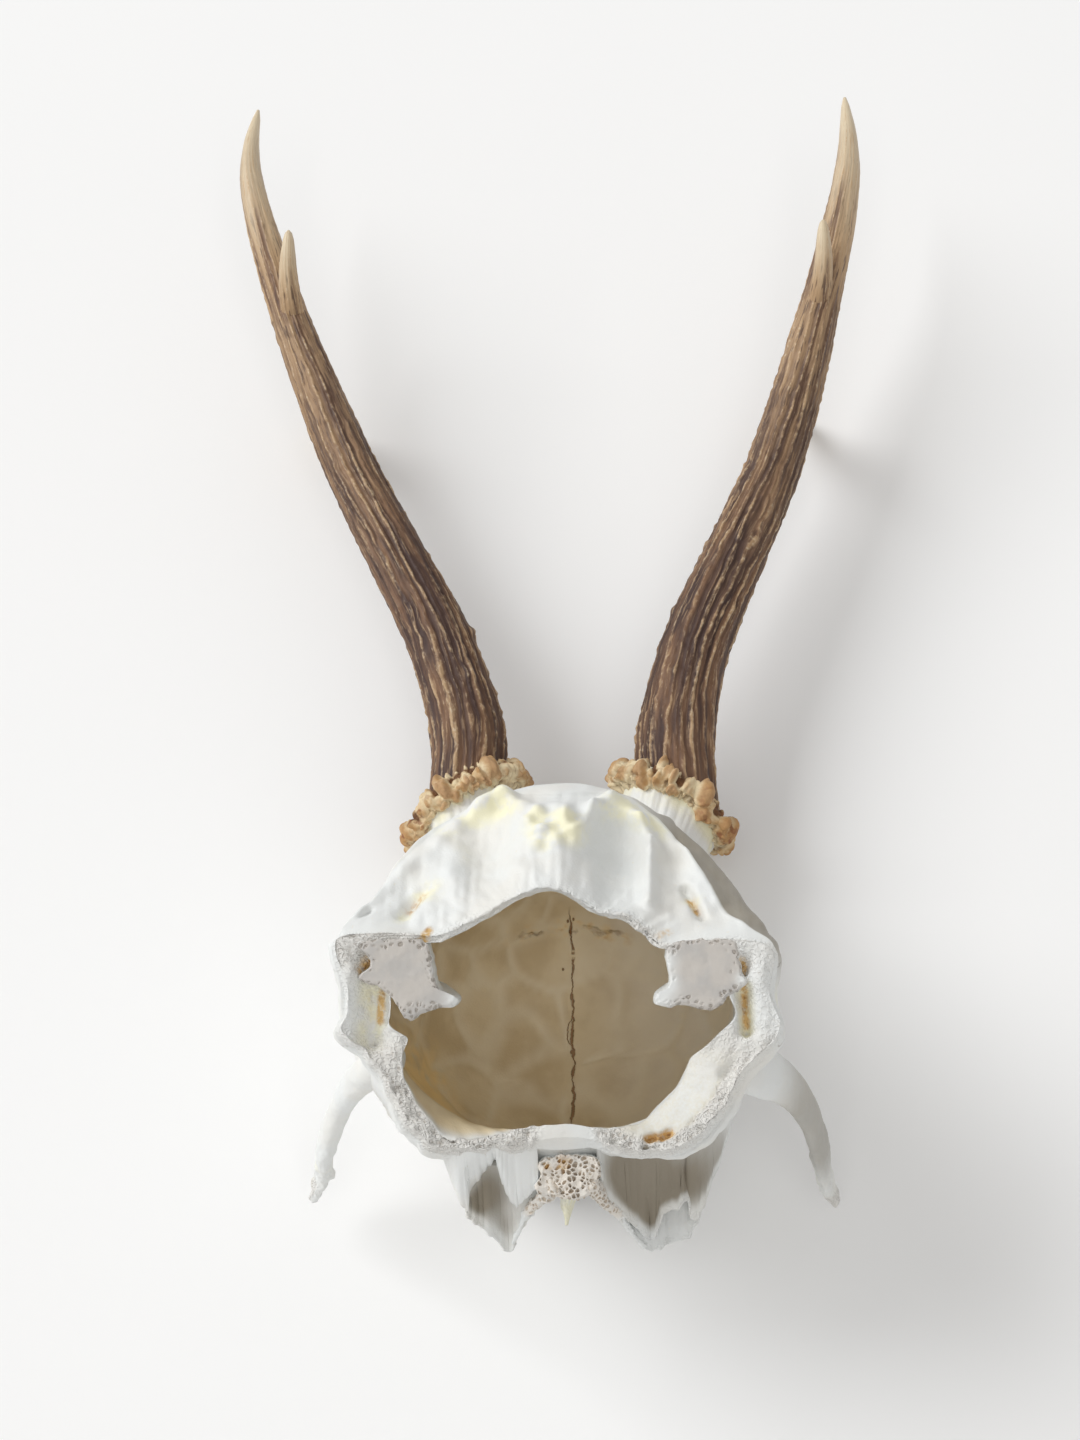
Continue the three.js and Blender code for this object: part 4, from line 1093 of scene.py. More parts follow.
# %% Torn plates
PLATE_ALONG = 220
PLATE_DEEP = 44
AWAY = np.array([-0.04, 0.47, -0.88])
# Each plate's last list: x, y, radius, strength of painted shade, partly dirt on the far left plate.
PLATES = {
    "near_plate_left": {
        "root": [(-21.5, 2.4, 55.6), (-19.5, -0.1, 56.2), (-14, -1.1, 56.4), (-9.5, -0.6, 56.5),
                 (-6, -0.5, 56.4), (-3, -0.9, 55.6)],
        "edge": [(-20.6, 3.4, 51), (-19.4, 2.1, 52), (-18.1, -1.7, 50),
                 (-17.0, -5.0, 47.5), (-15.8, -7.1, 45.5),
                 (-15.1, -7.8, 44.5), (-15.2, -6.8, 45.5), (-14.6, -4.8, 47.0), (-12.5, -2.9, 49.0),
                 (-10.1, -1.2, 52.0), (-9.8, -3.0, 51.0), (-9.3, -4.8, 49.0), (-8.2, -6.6, 46.5),
                 (-7.4, -7.4, 45.5), (-5.7, -6.6, 48.0), (-3.7, -5.6, 50.5)],
        "hollow": -1.5, "thick": 0.7, "ribs": 0.02, "dust": [(-22, 2, 2.5, 0.15)]},
    "far_plate_left": {
        "root": [(-17.5, 0.5, 46), (-10, -1.0, 48.5), (-5, -2.5, 51), (-0.5, -5.0, 53)],
        "edge": [(-16.4, -3.4, 44), (-15.3, -7.8, 43.0), (-13.9, -8.8, 42.0), (-12.6, -9.6, 41.0),
                 (-11.2, -10.7, 40.0), (-9.7, -11.8, 38.0), (-8.8, -11.9, 37.4), (-7.9, -11.1, 38.5),
                 (-7.2, -9.7, 40.5), (-5.3, -8.2, 43.5), (-3.8, -7.3, 46.5), (-1.7, -7.3, 50.0)],
        "hollow": 2.2, "thick": 0.9, "ribs": 0.35,
        "dust": [(-11.5, -3.4, 3.4, 1.0), (-14.0, -5.6, 2.2, 0.8), (-9.6, -8.4, 2.4, 0.5)]},
    "near_plate_right": {
        "root": [(5.0, -0.9, 55.6), (8, -0.7, 56.4), (12.7, -1.2, 56.3), (16.5, -1.3, 56.2),
                 (21.0, 0.6, 56.8), (25.0, 4.2, 58.4), (28.4, 9.4, 60.2)],
        "edge": [(6.0, -2.9, 52.0), (6.2, -5.8, 49.0), (7.7, -7.3, 46.5),
                 (9.7, -8.6, 43.5), (11.7, -9.8, 41.0),
                 (13.6, -11.2, 39.0), (14.5, -10.4, 40.0), (15.7, -7.9, 42.5), (16.8, -7.4, 42.5),
                 (18.0, -7.1, 42.5), (18.8, -6.3, 43.5), (19.7, -6.1, 43.0), (20.2, -7.8, 41.5),
                 (21.1, -8.3, 41.0), (22.2, -6.7, 42.0), (23.3, -4.2, 42.5), (24.5, -0.9, 43.5),
                 (25.8, 2.9, 44.5), (27.2, 6.7, 45.5), (28.6, 10.5, 46.5), (29.6, 13.0, 48.0)],
        "hollow": 3.6, "thick": 0.8, "ribs": 0.10,
        "dust": [(11.0, -5.4, 3.6, 0.9), (14.4, -8.6, 2.4, 0.9), (9.0, -2.5, 3.0, 0.9),
                 (14.5, -3.0, 3.6, 0.9),
                 (18.5, -4.0, 3.6, 0.7), (21.5, -2.0, 3.6, 0.6), (25.0, 2.0, 4.0, 0.6)]},
    "far_plate_right": {
        "root": [(4.0, -4.5, 50), (10, -2.5, 45), (16, -1.5, 43), (23, -1.0, 42)],
        "edge": [(5.6, -6.6, 49.0), (7.7, -7.8, 46.0), (9.4, -9.3, 42.5), (11.1, -10.6, 39.5),
                 (12.7, -11.9, 37.5), (14.1, -12.0, 36.5), (16.8, -10.8, 37.5), (19.8, -10.1, 38.0),
                 (21.3, -8.2, 39.5), (23.0, -3.0, 41.5)],
        "hollow": 1.2, "thick": 0.9, "ribs": 0.05, "dust": []}}


def torn_plate(name, root, edge, hollow, thick, ribs, dust, seed):
    """A sheet: straight lines from root to edge, bent away by hollow * 4t(1 - t) * bell(s), where
    t runs from root to edge and s along the plate."""
    run = np.linspace(0, 1, PLATE_ALONG)
    free = evenly(np.array(edge, float), run)
    jag = np.stack([0.25 * noise(free, 1.3, seed), 0.45 * noise(free, 0.9, seed + 1), 0 * run], -1)
    free = free + jag * np.sin(np.pi * run)[:, None] ** 0.3
    root = np.array(root, float).T
    fixed = np.stack([np.interp(free[:, 0], root[0], along) for along in root], -1)
    t = np.linspace(0, 1, PLATE_DEEP)[None, :, None]
    grid = fixed[:, None] + (free - fixed)[:, None] * t
    belly = 4 * t * (1 - t) * np.sin(np.pi * run)[:, None, None] ** 0.6
    grid = grid + AWAY * hollow * belly
    rib = (1 - np.abs(noise(grid * [1, 0.12, 0.12], 1.1, seed + 2))) ** 2 * ribs
    grid = grid + AWAY * (rib + 0.12 * noise(grid, 2.5, seed + 3))[..., None]
    t = t[..., 0]
    worn = 1 - 0.6 * smoothstep(t, 0.75, 1.0)
    torn = smoothstep(t + 0.1 * noise(grid, 1.5, seed + 4), 0.88, 1.0)
    # painted shade, partly dirt, in spots that fade towards the torn edge
    grey = spots(grid[..., :2], dust) * (1 - 0.75 * smoothstep(t, 0.80, 0.97)) + 0 * torn
    return thin_piece(name, grid, thick * worn + 0 * torn, sawn=torn * 0.35, dust=grey)


for number, (name, plan) in enumerate(PLATES.items()):
    made = torn_plate(name, seed=90 + 10 * number, **plan)
    stands_for = [f"pterygoid_{name.split('_')[-1]}"] if name.startswith("near") else []
    dress(made, "bone", bone, *stands_for)

# %% The stump of the vomer
VOMER_ROOT = [(0.7, -6.0, 50.5), (0.7, -3.0, 37)]
VOMER_EDGE = [(0.2, -7.8, 49.6), (0.5, -10.2, 45.4), (0.8, -8.6, 44), (0.8, -7.4, 41),
              (0.7, -6.4, 38), (0.7, -4.6, 37)]
VOMER_DEEP = 24

run = np.linspace(0, 1, 120)
down = np.linspace(0, 1, VOMER_DEEP)
low_line = evenly(np.array(VOMER_EDGE, float), run)
low_line[:, 1] += 0.35 * noise(low_line, 1.1, 131)
top_line = evenly(np.array(VOMER_ROOT, float), run)
blade = top_line[:, None] + (low_line - top_line)[:, None] * down[:, None]
blade[..., 0] += 0.25 * noise(blade, 1.8, 132)
taper = (2.6 - 2.1 * down) * (1 + 0.35 * noise(blade, 1.2, 133))
vomer = thin_piece("vomer_stump", blade, taper, cream=0.8 + 0 * taper, sawn=0.35 + 0 * taper)
dress(vomer, "bone", bone, "vomer")

# %% [markdown]
# ## Tubes along a line
# Cheek arches, pedicles, beams and tines are all grown along a line. A tube is a ring carried along
# it: at each step, `across` and `raised` span the plane square to the line, and the ring's two half
# axes may change along the way. The two ends shrink to points. The first tubes are the two porous
# edges that run from the block to the tips of the far plates.

# %% Tubes
def tube(line, half_across, half_raised, up, turns):
    """Rings p + a cos(t) across + b sin(t) raised along a line, with across = ahead x up."""
    ahead = np.gradient(line, axis=0)
    ahead /= np.linalg.norm(ahead, axis=1, keepdims=True)
    across = np.cross(ahead, up)
    across /= np.linalg.norm(across, axis=1, keepdims=True)
    raised = np.cross(across, ahead)
    angle = 2 * np.pi * np.arange(turns) / turns
    a = (half_across[:, None] * np.cos(angle))[..., None]
    b = (half_raised[:, None] * np.sin(angle))[..., None]
    return line[:, None] + a * across[:, None] + b * raised[:, None], angle


def capped(grid, line):
    """Adds the two end points of the line as closing rows."""
    ends = [np.broadcast_to(line[k], grid[:1].shape) for k in (0, -1)]
    return np.concatenate([ends[0], grid, ends[1]])


def padded_rows(value):
    """The values of a tube's rows, with the first and the last row once more for the ends."""
    return np.concatenate([value[:1], value, value[-1:]])


def spokes(grid, line):
    """Unit vectors that point from the line to the rings' points."""
    spoke = grid - line[:, None]
    return spoke / np.maximum(np.linalg.norm(spoke, axis=-1, keepdims=True), 1e-9)


# %% Porous edges
ARM_LINE = {
    "left": [(-0.6, -5.8, 52.5), (-3.0, -6.7, 48.8), (-5.4, -7.6, 45.0), (-7.0, -9.2, 41.5),
             (-8.2, -11.0, 38.6)],
    "right": [(4.2, -5.4, 52.5), (6.2, -6.6, 48.0), (8.8, -8.2, 43.8), (11.0, -10.1, 39.8),
              (12.7, -11.4, 37.6)]}
ARM_RADIUS = [(0, 1.8), (0.3, 1.2), (0.6, 0.7), (1, 0.4)]
shares = np.linspace(0, 1, 200)
for side, seed in (("left", 134), ("right", 138)):
    line = evenly(through(ARM_LINE[side], 30), shares)
    radius = reading(ARM_RADIUS, shares)
    grid, angle = tube(line, radius * 0.8, radius, (0, 1, 0), 72)
    porous = smoothstep(shares, 0.75, 0.35)[:, None]
    hole = porous * holes(grid, 0.8, seed)
    push = 0.30 * layered(grid, 1.3, seed + 1) - 0.35 * hole
    grid = grid + spokes(grid, line) * push[..., None]
    porous = padded_rows(porous + 0 * hole)
    arm = round_piece(f"porous_edge_{side}", capped(grid, line), pit=padded_rows(hole),
                      sawn=porous, face=porous)
    dress(arm, "sawn_bone", block_bone)

# %% [markdown]
# ## Cheek arches
# The saw and the boiling left two stumps of the cheek arches, flat straps of bone that hang down at
# the sides and end in a torn, chipped point. The right one is greyed with painted shade.

# %% Cheek arches
ARCH_LINE = {
    "left": [(-27.4, 15.0, 54), (-31.6, 15.0, 47), (-34.7, 15.2, 40), (-38, 14.6, 30), (-40.7, 12.2, 22),
             (-42.0, 9.6, 14), (-44.6, 6.7, 8.4)],
    "right": [(27.0, 13.8, 54), (32, 14.4, 47), (36.0, 14.8, 40), (39.9, 13.7, 30), (42.2, 10.7, 22),
              (43.7, 7.5, 14), (45.4, 4.4, 8.6)]}
ARCH_HALF_HEIGHT = {
    "left": [(0, 3.4), (0.25, 2.8), (0.45, 2.5), (0.6, 2.7), (0.78, 3.2), (0.9, 2.2), (1, 0.7)],
    "right": [(0, 5.4), (0.25, 4.2), (0.45, 3.8), (0.6, 3.6), (0.85, 3.3), (0.95, 2.2), (1, 0.7)]}
ARCH_HALF_THICKNESS = [(0, 3), (0.25, 2.1), (0.6, 1.7), (0.85, 1.6), (1, 0.6)]
ARCH_KNOB = {"left": (-39.4, 8.6, 15.0), "right": (41.4, 4.8, 12.0)}
# painted shade: how strongly each arch is greyed, the right one lying in the skull's shadow
ARCH_SHADE = {"left": 0.0, "right": 0.62}
ARCH_TURNS = 120
shares = np.linspace(0, 1, 240)
for side, seed in (("left", 141), ("right", 151)):
    line = evenly(through(ARCH_LINE[side], 30), shares)
    grid, angle = tube(line, reading(ARCH_HALF_THICKNESS, shares),
                       reading(ARCH_HALF_HEIGHT[side], shares), (0, 1, 0), ARCH_TURNS)
    far = shares[:, None] * np.ones((1, ARCH_TURNS))
    torn = smoothstep(far, 0.55, 0.95)
    rough = (0.20 + 0.25 * torn) * layered(grid, 3.2, seed) + torn * 0.25 * layered(grid, 1.0, seed + 1)
    chip = smoothstep(far, 0.70, 0.74) * smoothstep(far, 0.97, 0.9) * np.maximum(0, np.cos(angle)) * 0.5
    knob = mound(grid, ARCH_KNOB[side], (1.5, 1.5, 2.0), 1.1)
    grid = grid + spokes(grid, line) * (rough - chip + knob)[..., None]
    worn = smoothstep(far + 0.12 * noise(grid, 2.0, seed + 2), 0.90, 1.0)
    cream = smoothstep(noise(grid, 3.0, seed + 3), 0.1, 0.6) * torn
    dust = ARCH_SHADE[side] * smoothstep(far, 0.12, 0.42) * smoothstep(far, 0.92, 0.7)
    arch = round_piece(f"cheek_arch_{side}", capped(grid, line), sawn=padded_rows(worn * 0.7),
                       cream=padded_rows(cream * 0.55), dust=padded_rows(dust))
    dress(arch, "bone", bone, f"zygomatic_arch_{side}")

# %% [markdown]
# ## Pedicles
# An antler stands on a pedicle, a stalk of living bone that swells out of the brow. Its surface is
# drawn lengthwise by blood vessels, and just under the burr it is stained cream.

# %% Pedicles
PEDICLE_ROOT = [(13.5, 52, 19), (15.5, 63, 17.5)]
PEDICLE_LENGTH = 27
PEDICLE_RADIUS = [(0, 6.4), (0.2, 8.6), (0.34, 8.9), (0.45, 8.5), (0.6, 8.0), (0.85, 7.9), (1, 8.4)]
PEDICLE_TURNS = 240
BURR_CENTRE = {"left": (-18.6, 78.6, 15.4), "right": (18.9, 78.0, 15.4)}
BURR_LEAN = 0.6
OUT = {"left": -1, "right": 1}
shares = np.linspace(0, 1, 150)
radius = reading(PEDICLE_RADIUS, shares)
for side, seed in (("left", 161), ("right", 171)):
    root = [(OUT[side] * x, y, z) for x, y, z in PEDICLE_ROOT]
    line = evenly(through(root + [BURR_CENTRE[side]], 40), shares)
    grid, angle = tube(line, radius, radius, (0, 0, 1), PEDICLE_TURNS)
    unrolled = np.stack(np.broadcast_arrays(
        8 * np.cos(angle), 8 * np.sin(angle), PEDICLE_LENGTH * shares[:, None]), -1)
    push = grain(unrolled, [(0.34, (1.1, 1.1, 16), seed), (0.16, (0.5, 0.5, 7), seed + 1),
                            (0.4, (5, 5, 9), seed + 2)])
    grid = grid + spokes(grid, line) * push[..., None]
    # the end leans as the burr does
    leaning = smoothstep(shares, 0.5, 1.0)[:, None]
    grid[..., 1] -= OUT[side] * BURR_LEAN * leaning * (grid[..., 0] - line[:, None, 0])
    near_burr = smoothstep(shares, 0.66, 0.96)[:, None] * np.ones((1, PEDICLE_TURNS))
    stalk = round_piece(f"pedicle_{side}", capped(grid, line), cream=padded_rows(near_burr * 0.9))
    dress(stalk, "bone", bone, f"pedicle_{side}")

# %% [markdown]
# ## The antler finish
# An antler is dead bone stained by sap and rubbed bright on everything that stands up. So the
# finish follows the relief: dark in the furrows, tan on the ridges, nearly ivory at the polished
# tips. The pattern must run with the antler, so each tube carries its own unrolled place, in mm
# round and along, and the noises read that instead of the position in space.

# %% Antler and burr
ANTLER_DARK = (0.055, 0.026, 0.019)
ANTLER_BROWN = (0.19, 0.10, 0.053)
ANTLER_TAN = (0.51, 0.34, 0.19)
ANTLER_IVORY = (0.70, 0.59, 0.42)
BURR_DARK = (0.16, 0.07, 0.025)
BURR_TAN = (0.58, 0.38, 0.18)
BURR_GOLD = (0.46, 0.25, 0.095)
BURR_RED = (0.28, 0.115, 0.045)
BURR_CREAM = (0.78, 0.66, 0.44)


def antler_finish():
    """Dark in the furrows, tan on the ridges and nearly ivory at the tip."""
    f = Finish("antler", {"Specular IOR Level": 0.45})
    unrolled = f.node("Attribute", {"attribute_name": "unrolled"}, {}, "Vector")
    far, ridge, furrow = f.mask("far"), f.mask("ridge"), f.mask("furrow")
    strand = f.cloud(0.45, 4.0, f.stretched((1.0, 1.0, 0.09), unrolled))
    band = f.cloud(1.6, 4.0, f.stretched((1.0, 1.0, 0.06), unrolled), 2.0)
    speck = f.cloud(0.34, 3.0, f.stretched((1.0, 1.0, 0.55), unrolled), 3.0)
    rubbed = ridge + (strand - 0.5) * 0.7 + (speck - 0.5) * 0.6
    grooved = strand.step(0.46, 0.38) * (0.35 + far * 0.4) * (1 - far.step(0.72, 0.9) * 0.75)
    colour = f.coats(
        f.mix(band.step(0.40, 0.62), ANTLER_DARK, ANTLER_BROWN),
        (far.step(0.25, 0.92), f.mix(band.step(0.36, 0.58), ANTLER_BROWN, ANTLER_TAN)),
        ((far + band * 0.25).step(0.86, 1.12), ANTLER_IVORY),
        (rubbed.step(0.30, 0.90) * 0.8,
         f.mix(speck.step(0.50, 0.66) * 0.6, ANTLER_TAN, ANTLER_IVORY)),
        (strand.step(0.56, 0.64) * 0.35, ANTLER_TAN),
        (grooved.step(0.0, 1.0), ANTLER_DARK),
        (furrow.step(0.35, 0.95) * (1 - far.step(0.6, 1.0)) * 0.7, ANTLER_DARK))
    height = (strand * 0.16 + speck * 0.07 + band * 0.15) * (1.15 - far)
    return f.connect(colour, 0.62 - far * 0.2 - ridge * 0.12 + strand * 0.12, height)


def burr_finish():
    """Dark creases, tan and cream flanks, golden tops, and a redder outer end."""
    f = Finish("burr", {"Specular IOR Level": 0.4})
    outer_end = f.mask("outer_end")
    patch = f.cloud(2.4, 3.0)
    fine = f.cloud(0.45, 3.0, seed=1.0)
    level = f.mask("rise") + (patch - 0.5) * 0.4 + (fine - 0.5) * 0.25 - outer_end * 0.08
    reddish = f.cloud(1.5, 2.0, seed=5.0).step(0.52, 0.66) * (0.25 + outer_end * 0.6)
    colour = f.coats(
        BURR_DARK,
        (level.step(0.14, 0.50), BURR_TAN),
        (level.step(0.16, 0.50) * patch.step(0.3, 0.52) * (1 - outer_end * 0.5), BURR_CREAM),
        (level.step(0.5, 0.95) * (0.75 + outer_end * 0.2), BURR_GOLD),
        (level.step(0.85, 1.15) * 0.5, BURR_RED),
        (reddish.step(0.0, 1.0), BURR_RED),
        (f.mask("root") * 0.9, BURR_CREAM))
    return f.connect(colour, 0.55 + fine * 0.15, fine * 0.12 + f.cloud(0.9) * 0.1)


antler = antler_finish()
burr_bone = burr_finish()

# %% [markdown]
# ## Beams and tines
# Each beam is one tube from inside the burr to the tip. Broad furrows, wavering ridges and small
# beads are noises stretched along it. They are strong near the burr and nearly gone at the tip,
# where the buck has polished it, and a few large pearls stand where the real ones do. The foot
# leans as the burr does, so that the two meet all round. The tines are thinner tubes of the same
# kind. The front ones carry the antlers: their tips stand on the floor.

# %% Antler tubes
# Rows of how many ridges run round the tube, how far they wander, how high they are.
RIDGES = [(17, 2.6, 1.0), (32, 3.4, 0.65)]
RELIEF_STRENGTH = [(0, 1), (0.4, 0.95), (0.6, 0.7), (0.75, 0.4), (0.9, 0.14), (1, 0.05)]


def antler_tube(name, line, radius, turns, span, seed, depth_ratio=1.0, pearls=(), lean=0):
    """A tube with its relief: furrows, ridges and beads, times a strength that fades along it.
    A ridge is the cube of 0.5 + 0.5 cos(n turn + noise): n thin crests that wander as they run.
    The foot leans like the burr: y falls by lean for each mm of x, less and less up the beam.
    The span says where the two ends count as being, from 0 at the burr to 1 at the antler's tip."""
    far = np.linspace(*span, len(line))
    grid, angle = tube(line, radius, radius * depth_ratio, (0, 0, 1), turns)
    length = np.concatenate([[0], np.cumsum(np.linalg.norm(np.diff(line, axis=0), axis=1))])
    round_it = np.stack([np.cos(angle), np.sin(angle), 0 * angle], -1)
    along = length[:, None, None] * [0, 0, 1]
    turn = (angle + 0.10 * noise(3 * round_it + along, (2, 2, 16), seed)
            + 0.045 * noise(4 * round_it + along, (1.2, 1.2, 3.2), seed + 1))
    wide = np.maximum(radius, 1.6)[:, None]
    unrolled = np.stack([wide * np.cos(turn), wide * np.sin(turn), length[:, None] + 0 * turn], -1)
    furrow = noise(unrolled, (3.6, 3.6, 55), seed + 2)
    bead = noise(unrolled, (0.7, 0.7, 1.1), seed + 5)
    ridge = 0 * furrow
    for count, wander, height in RIDGES:
        phase = count * turn + wander * noise(unrolled, (3.0, 3.0, 26), seed + count)
        uneven = 0.72 + 0.5 * noise(unrolled, (2.2, 2.2, 15), seed + count + 1)
        ridge = np.maximum(ridge, height * (0.5 + 0.5 * np.cos(phase)) ** 3 * uneven)
    ridge = np.clip(ridge, 0, 1) * (0.85 + 0.35 * bead)
    strength = reading(RELIEF_STRENGTH, far) * np.minimum(1, radius / 3) * smoothstep(far, -0.03, 0.01)
    fine = 0.09 * bead + 0.10 * noise(unrolled, (0.9, 0.9, 9), seed + 7)
    relief = strength[:, None] * (0.45 * furrow + 0.60 * ridge + fine)
    knobs = mounds(grid, [(c, (r, r * 1.3, r * 1.6), h) for c, r, h in pearls]) + 0 * relief
    grid = grid + spokes(grid, line) * (relief + knobs)[..., None]
    foot = smoothstep(far, 0.14, 0.01)[:, None]
    grid[..., 1] -= lean * foot * (grid[..., 0] - line[:, None, 0])
    grid[..., 2] = np.maximum(grid[..., 2], 0.0)
    masks = {"far": far[:, None] + 0 * relief, "unrolled": unrolled,
             "ridge": np.clip(ridge + 0.6 * knobs, 0, 1),
             "furrow": np.clip(0.5 - furrow * 0.9, 0, 1) * (1 - np.clip(ridge, 0, 1))}
    return round_piece(name, capped(grid, line), **{k: padded_rows(v) for k, v in masks.items()})


# %% Beam measures
BEAM_LINE = {
    "left": [(-18.1, 79.6, 15.4), (-18, 91.4, 16.4), (-22.8, 109.9, 17.4), (-41.2, 149.7, 18.6),
             (-53.9, 182.5, 23), (-62.1, 210.7, 28.6), (-62.9, 221, 29), (-62.1, 231.4, 28.2)],
    "right": [(20.1, 78.7, 15.4), (20.2, 90.5, 16.4), (24, 108.8, 17.4), (39.9, 147.4, 18.6),
              (49.5, 179.2, 23), (56.2, 206.5, 28.6), (57.4, 217.5, 29), (57.4, 230.2, 28.2)]}
BEAM_FOOT = {"left": (-17.6, 73.0, 15.4), "right": (18.2, 72.6, 15.4)}
BEAM_RADIUS = [(0, 7.7), (0.07, 7.2), (0.2, 6.5), (0.35, 5.8), (0.5, 5.1), (0.6, 4.5), (0.7, 3.8),
               (0.8, 3.3), (0.88, 2.6), (0.95, 1.6), (0.985, 0.9), (1, 0.35)]
BEAM_SLIMMING = {"left": 0.91, "right": 0.96}
BEAM_DEPTH_RATIO = 1.12
BEAM_TURNS = 168
FOOT_ROWS = 24
FOOT_RADIUS = (4.8, 7.2)
# Rows of centre, radius, height.
PEARLS = {
    "left": [((-16.6, 124.0, 20), 1.1, 1.2), ((-16.9, 113.3, 19), 1.1, 1.5),
             ((-14.6, 109.6, 22), 1.0, 1.2), ((-11.6, 103, 20), 1.2, 1.0), ((-17.5, 101, 24), 1.0, 0.6)],
    "right": [((19.4, 116.7, 20), 1.1, 1.3), ((16.6, 109.6, 20), 1.1, 1.2),
              ((19.5, 101, 24), 1.1, 0.6)]}

# %% Tine measures
REAR_TURNS, FRONT_TURNS = 90, 100
REAR_FORK = 0.668
REAR_TIP = {"left": (-53.4, 195.0, 35.4), "right": (51, 194.0, 35.4)}
REAR_BEND = (0.5, -1.2, 0.8)
REAR_RADIUS = [(0, 2.2), (0.3, 2.09), (0.55, 1.804), (0.75, 1.496), (0.9, 1.1), (0.97, 0.704),
               (1, 0.176)]
FRONT_FORK = 0.53
# How far the bend and the tip lie ahead of the fork, and what is left of their height.
FRONT_BEND = (5, (1, 1, 0.56))
FRONT_TIP = (13, (1, 1, 0))
FRONT_TIP_HEIGHT = 0.2
FRONT_RADIUS = [(0, 4.1), (0.15, 4.1), (0.35, 3.608), (0.6, 2.706), (0.8, 1.886), (0.93, 1.148),
                (0.98, 0.656), (1, 0.205)]

# %% Both antlers
up_beam = np.linspace(0, 1, 560)
up_tine = np.linspace(0, 1, 190)
foot_share = np.linspace(0, 1, FOOT_ROWS, endpoint=False)[:, None]
for side, seed in (("left", 201), ("right", 231)):
    out = OUT[side]
    middle = through(BEAM_LINE[side], 60)
    grown = evenly(middle, up_beam)
    foot = BEAM_FOOT[side] + (grown[0] - BEAM_FOOT[side]) * foot_share
    radius = np.concatenate([np.linspace(*FOOT_RADIUS, FOOT_ROWS), reading(BEAM_RADIUS, up_beam)])
    beam = antler_tube(f"beam_{side}", np.concatenate([foot, grown]), radius * BEAM_SLIMMING[side],
                       BEAM_TURNS, (-0.04, 1), seed, BEAM_DEPTH_RATIO, PEARLS[side],
                       BURR_LEAN * out)
    dress(beam, "antler", antler, f"beam_{side}", f"upper_beam_{side}", f"top_tine_{side}")
    start, base, beyond = evenly(middle, [REAR_FORK, FRONT_FORK, FRONT_FORK + 0.01])
    tip = np.array(REAR_TIP[side])
    bend = start + (tip - start) * 0.55 + np.multiply(REAR_BEND, [out, 1, 1])
    rear = antler_tube(f"rear_tine_{side}", evenly(through([start, bend, tip], 60), up_tine),
                       reading(REAR_RADIUS, up_tine), REAR_TURNS, (0.62, 0.97), seed + 10)
    dress(rear, "tine_tip", antler, f"rear_tine_{side}")
    ahead = (beyond - base) / np.linalg.norm(beyond - base)
    bend, tip = (np.multiply(base + ahead * run, kept) for run, kept in (FRONT_BEND, FRONT_TIP))
    tip[2] = FRONT_TIP_HEIGHT
    front = antler_tube(f"front_tine_{side}", evenly(through([base, bend, tip], 60), up_tine),
                        reading(FRONT_RADIUS, up_tine), FRONT_TURNS, (0.55, 0.98), seed + 20)
    dress(front, "tine_tip", antler, f"front_tine_{side}")

# %% [markdown]
# ## Burrs
# The burr is a wreath of buds that grew where the skin ended. The base is a thick disc, leaning
# outwards. On it stand sixty buds, each a dome, height times a power of 1 - d^2, and many small
# beads. Taking the highest dome at each point, instead of the sum, leaves the deep creases between
# buds.

# %% Burrs
BURR_TILT = {"left": 28, "right": -27}
BURR_PROFILE = [(0.0, -2.2), (6.8, -2.6), (8.2, -2.2), (9.1, -1.1), (9.6, 0.1), (9.3, 1.0),
                (8.4, 1.5), (7.2, 1.6), (0.0, 1.4)]
BURR_STEPS = [4, 14, 20, 22, 20, 18, 12, 6]
BURR_TURNS = 480
# How many, and the least and the most of their radius, height and level on the disc.
BUDS = (60, (0.7, 1.6), (0.8, 2.3), (-1.4, 1.4))
BEADS = (240, (0.3, 0.7), (0.4, 1.0), (-1.8, 1.6))
FLUTES = 46


def domes(local, kind, rng):
    """Buds or beads one by one, each with its height at every point of the disc: a random rise
    times (1 - d^2) to a random power, where d is the distance over the radius."""
    count, radii, rises, levels = kind
    for k in range(count):
        at = 2 * np.pi * (k + rng.uniform(-0.35, 0.35)) / count
        level = rng.uniform(*levels)
        reach = np.interp(level, [-2.2, 0, 1.5], [8.2, 9.6, 8.4])
        centre = np.array([reach * np.cos(at), level, reach * np.sin(at)])
        radius = rng.uniform(*radii)
        off = (local - centre) / [1, rng.uniform(0.8, 1.7), 1]
        inside = np.clip(1 - (off**2).sum(-1) / radius**2, 0, 1)
        yield inside ** rng.uniform(0.5, 1.0) * rng.uniform(*rises)


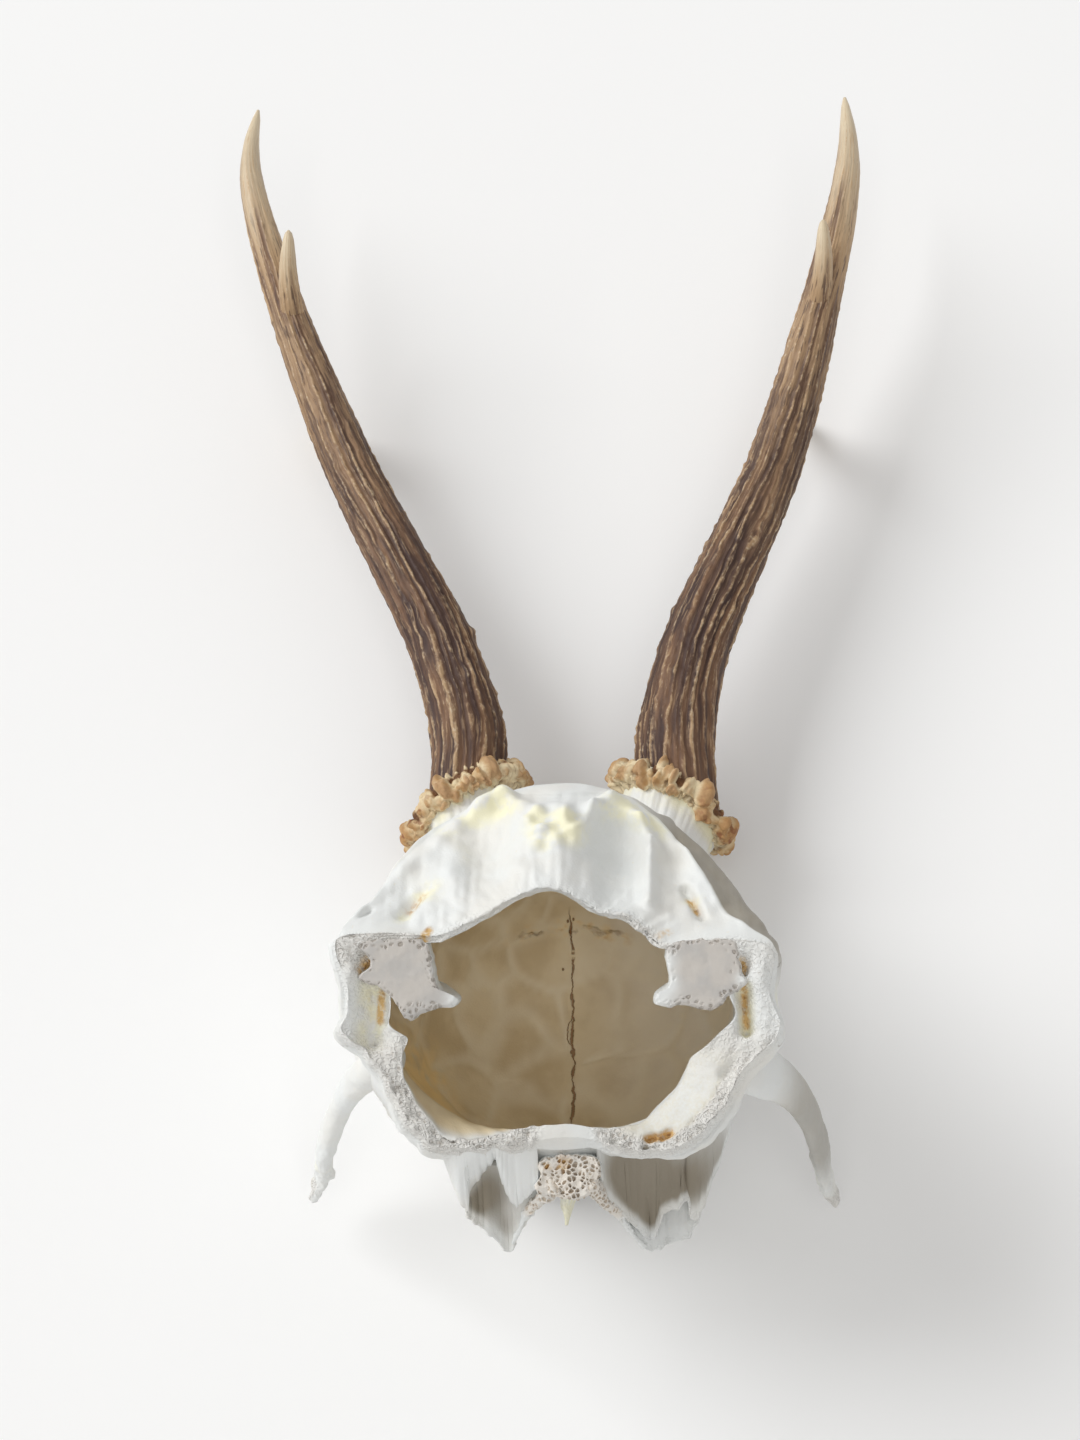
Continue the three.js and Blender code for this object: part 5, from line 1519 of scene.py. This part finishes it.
def wreath(name, side, seed):
    """A turned profile plus, at each point, the highest of the buds and beads around it."""
    rng = np.random.default_rng(seed)
    r, level, _ = through([(r, h, 0) for r, h in BURR_PROFILE], BURR_STEPS).T[..., None]
    angle = 2 * np.pi * np.arange(BURR_TURNS) / BURR_TURNS
    local = np.stack([r * np.cos(angle), level + 0 * angle, r * np.sin(angle)], -1)
    height = np.zeros(local.shape[:2])
    for dome in domes(local, BUDS, rng):
        height = np.maximum(height, dome)
    for dome in domes(local, BEADS, rng):
        height = np.maximum(height, height * 0.8 + dome)
    on_edge = smoothstep(np.linalg.norm(local[..., ::2], axis=-1), 6.4, 8.4)
    height = height * on_edge
    below = smoothstep(-level, 0.0, 1.4)
    flute = np.cos(FLUTES * angle + 3.0 * noise(local, 3.5, seed + 3))
    flute = flute * (0.7 + 0.5 * noise(local, 2.5, seed + 4))
    folds = grain(local, [(0.42, (1.0, 2.2, 1.0), seed + 1), (0.22, 0.5, seed + 2)])
    push = height + (folds + 0.30 * below * flute) * on_edge
    grid = local + outward(local) * push[..., None]
    # the crown leans up the beam, and the outer end droops and reaches outwards
    outwards = OUT[side] * local[..., 0]
    grid[..., 1] += 0.35 * height * smoothstep(level, -0.6, 1.2)
    grid[..., 1] -= 1.8 * smoothstep(outwards, 3, 9.6) ** 1.5
    spread = 2.4 * smoothstep(outwards, 3, 9.6) - 1.6 * smoothstep(-outwards, 4, 9.6)
    grid[..., 0] += OUT[side] * spread
    lean = math.radians(BURR_TILT[side])
    turned = np.array([[math.cos(lean), -math.sin(lean), 0],
                       [math.sin(lean), math.cos(lean), 0], [0, 0, 1]])
    root = below * (1 - 0.6 * smoothstep(-flute, 0.1, 0.8)) * smoothstep(-height, -1.0, 0)
    return round_piece(name, grid @ turned.T + BURR_CENTRE[side], rise=np.clip(height / 1.7, 0, 1),
                       outer_end=smoothstep(outwards, 3, 9), root=root)


for side, seed in (("left", 301), ("right", 321)):
    dress(wreath(f"burr_{side}", side, seed), "burr", burr_bone, f"burr_{side}")
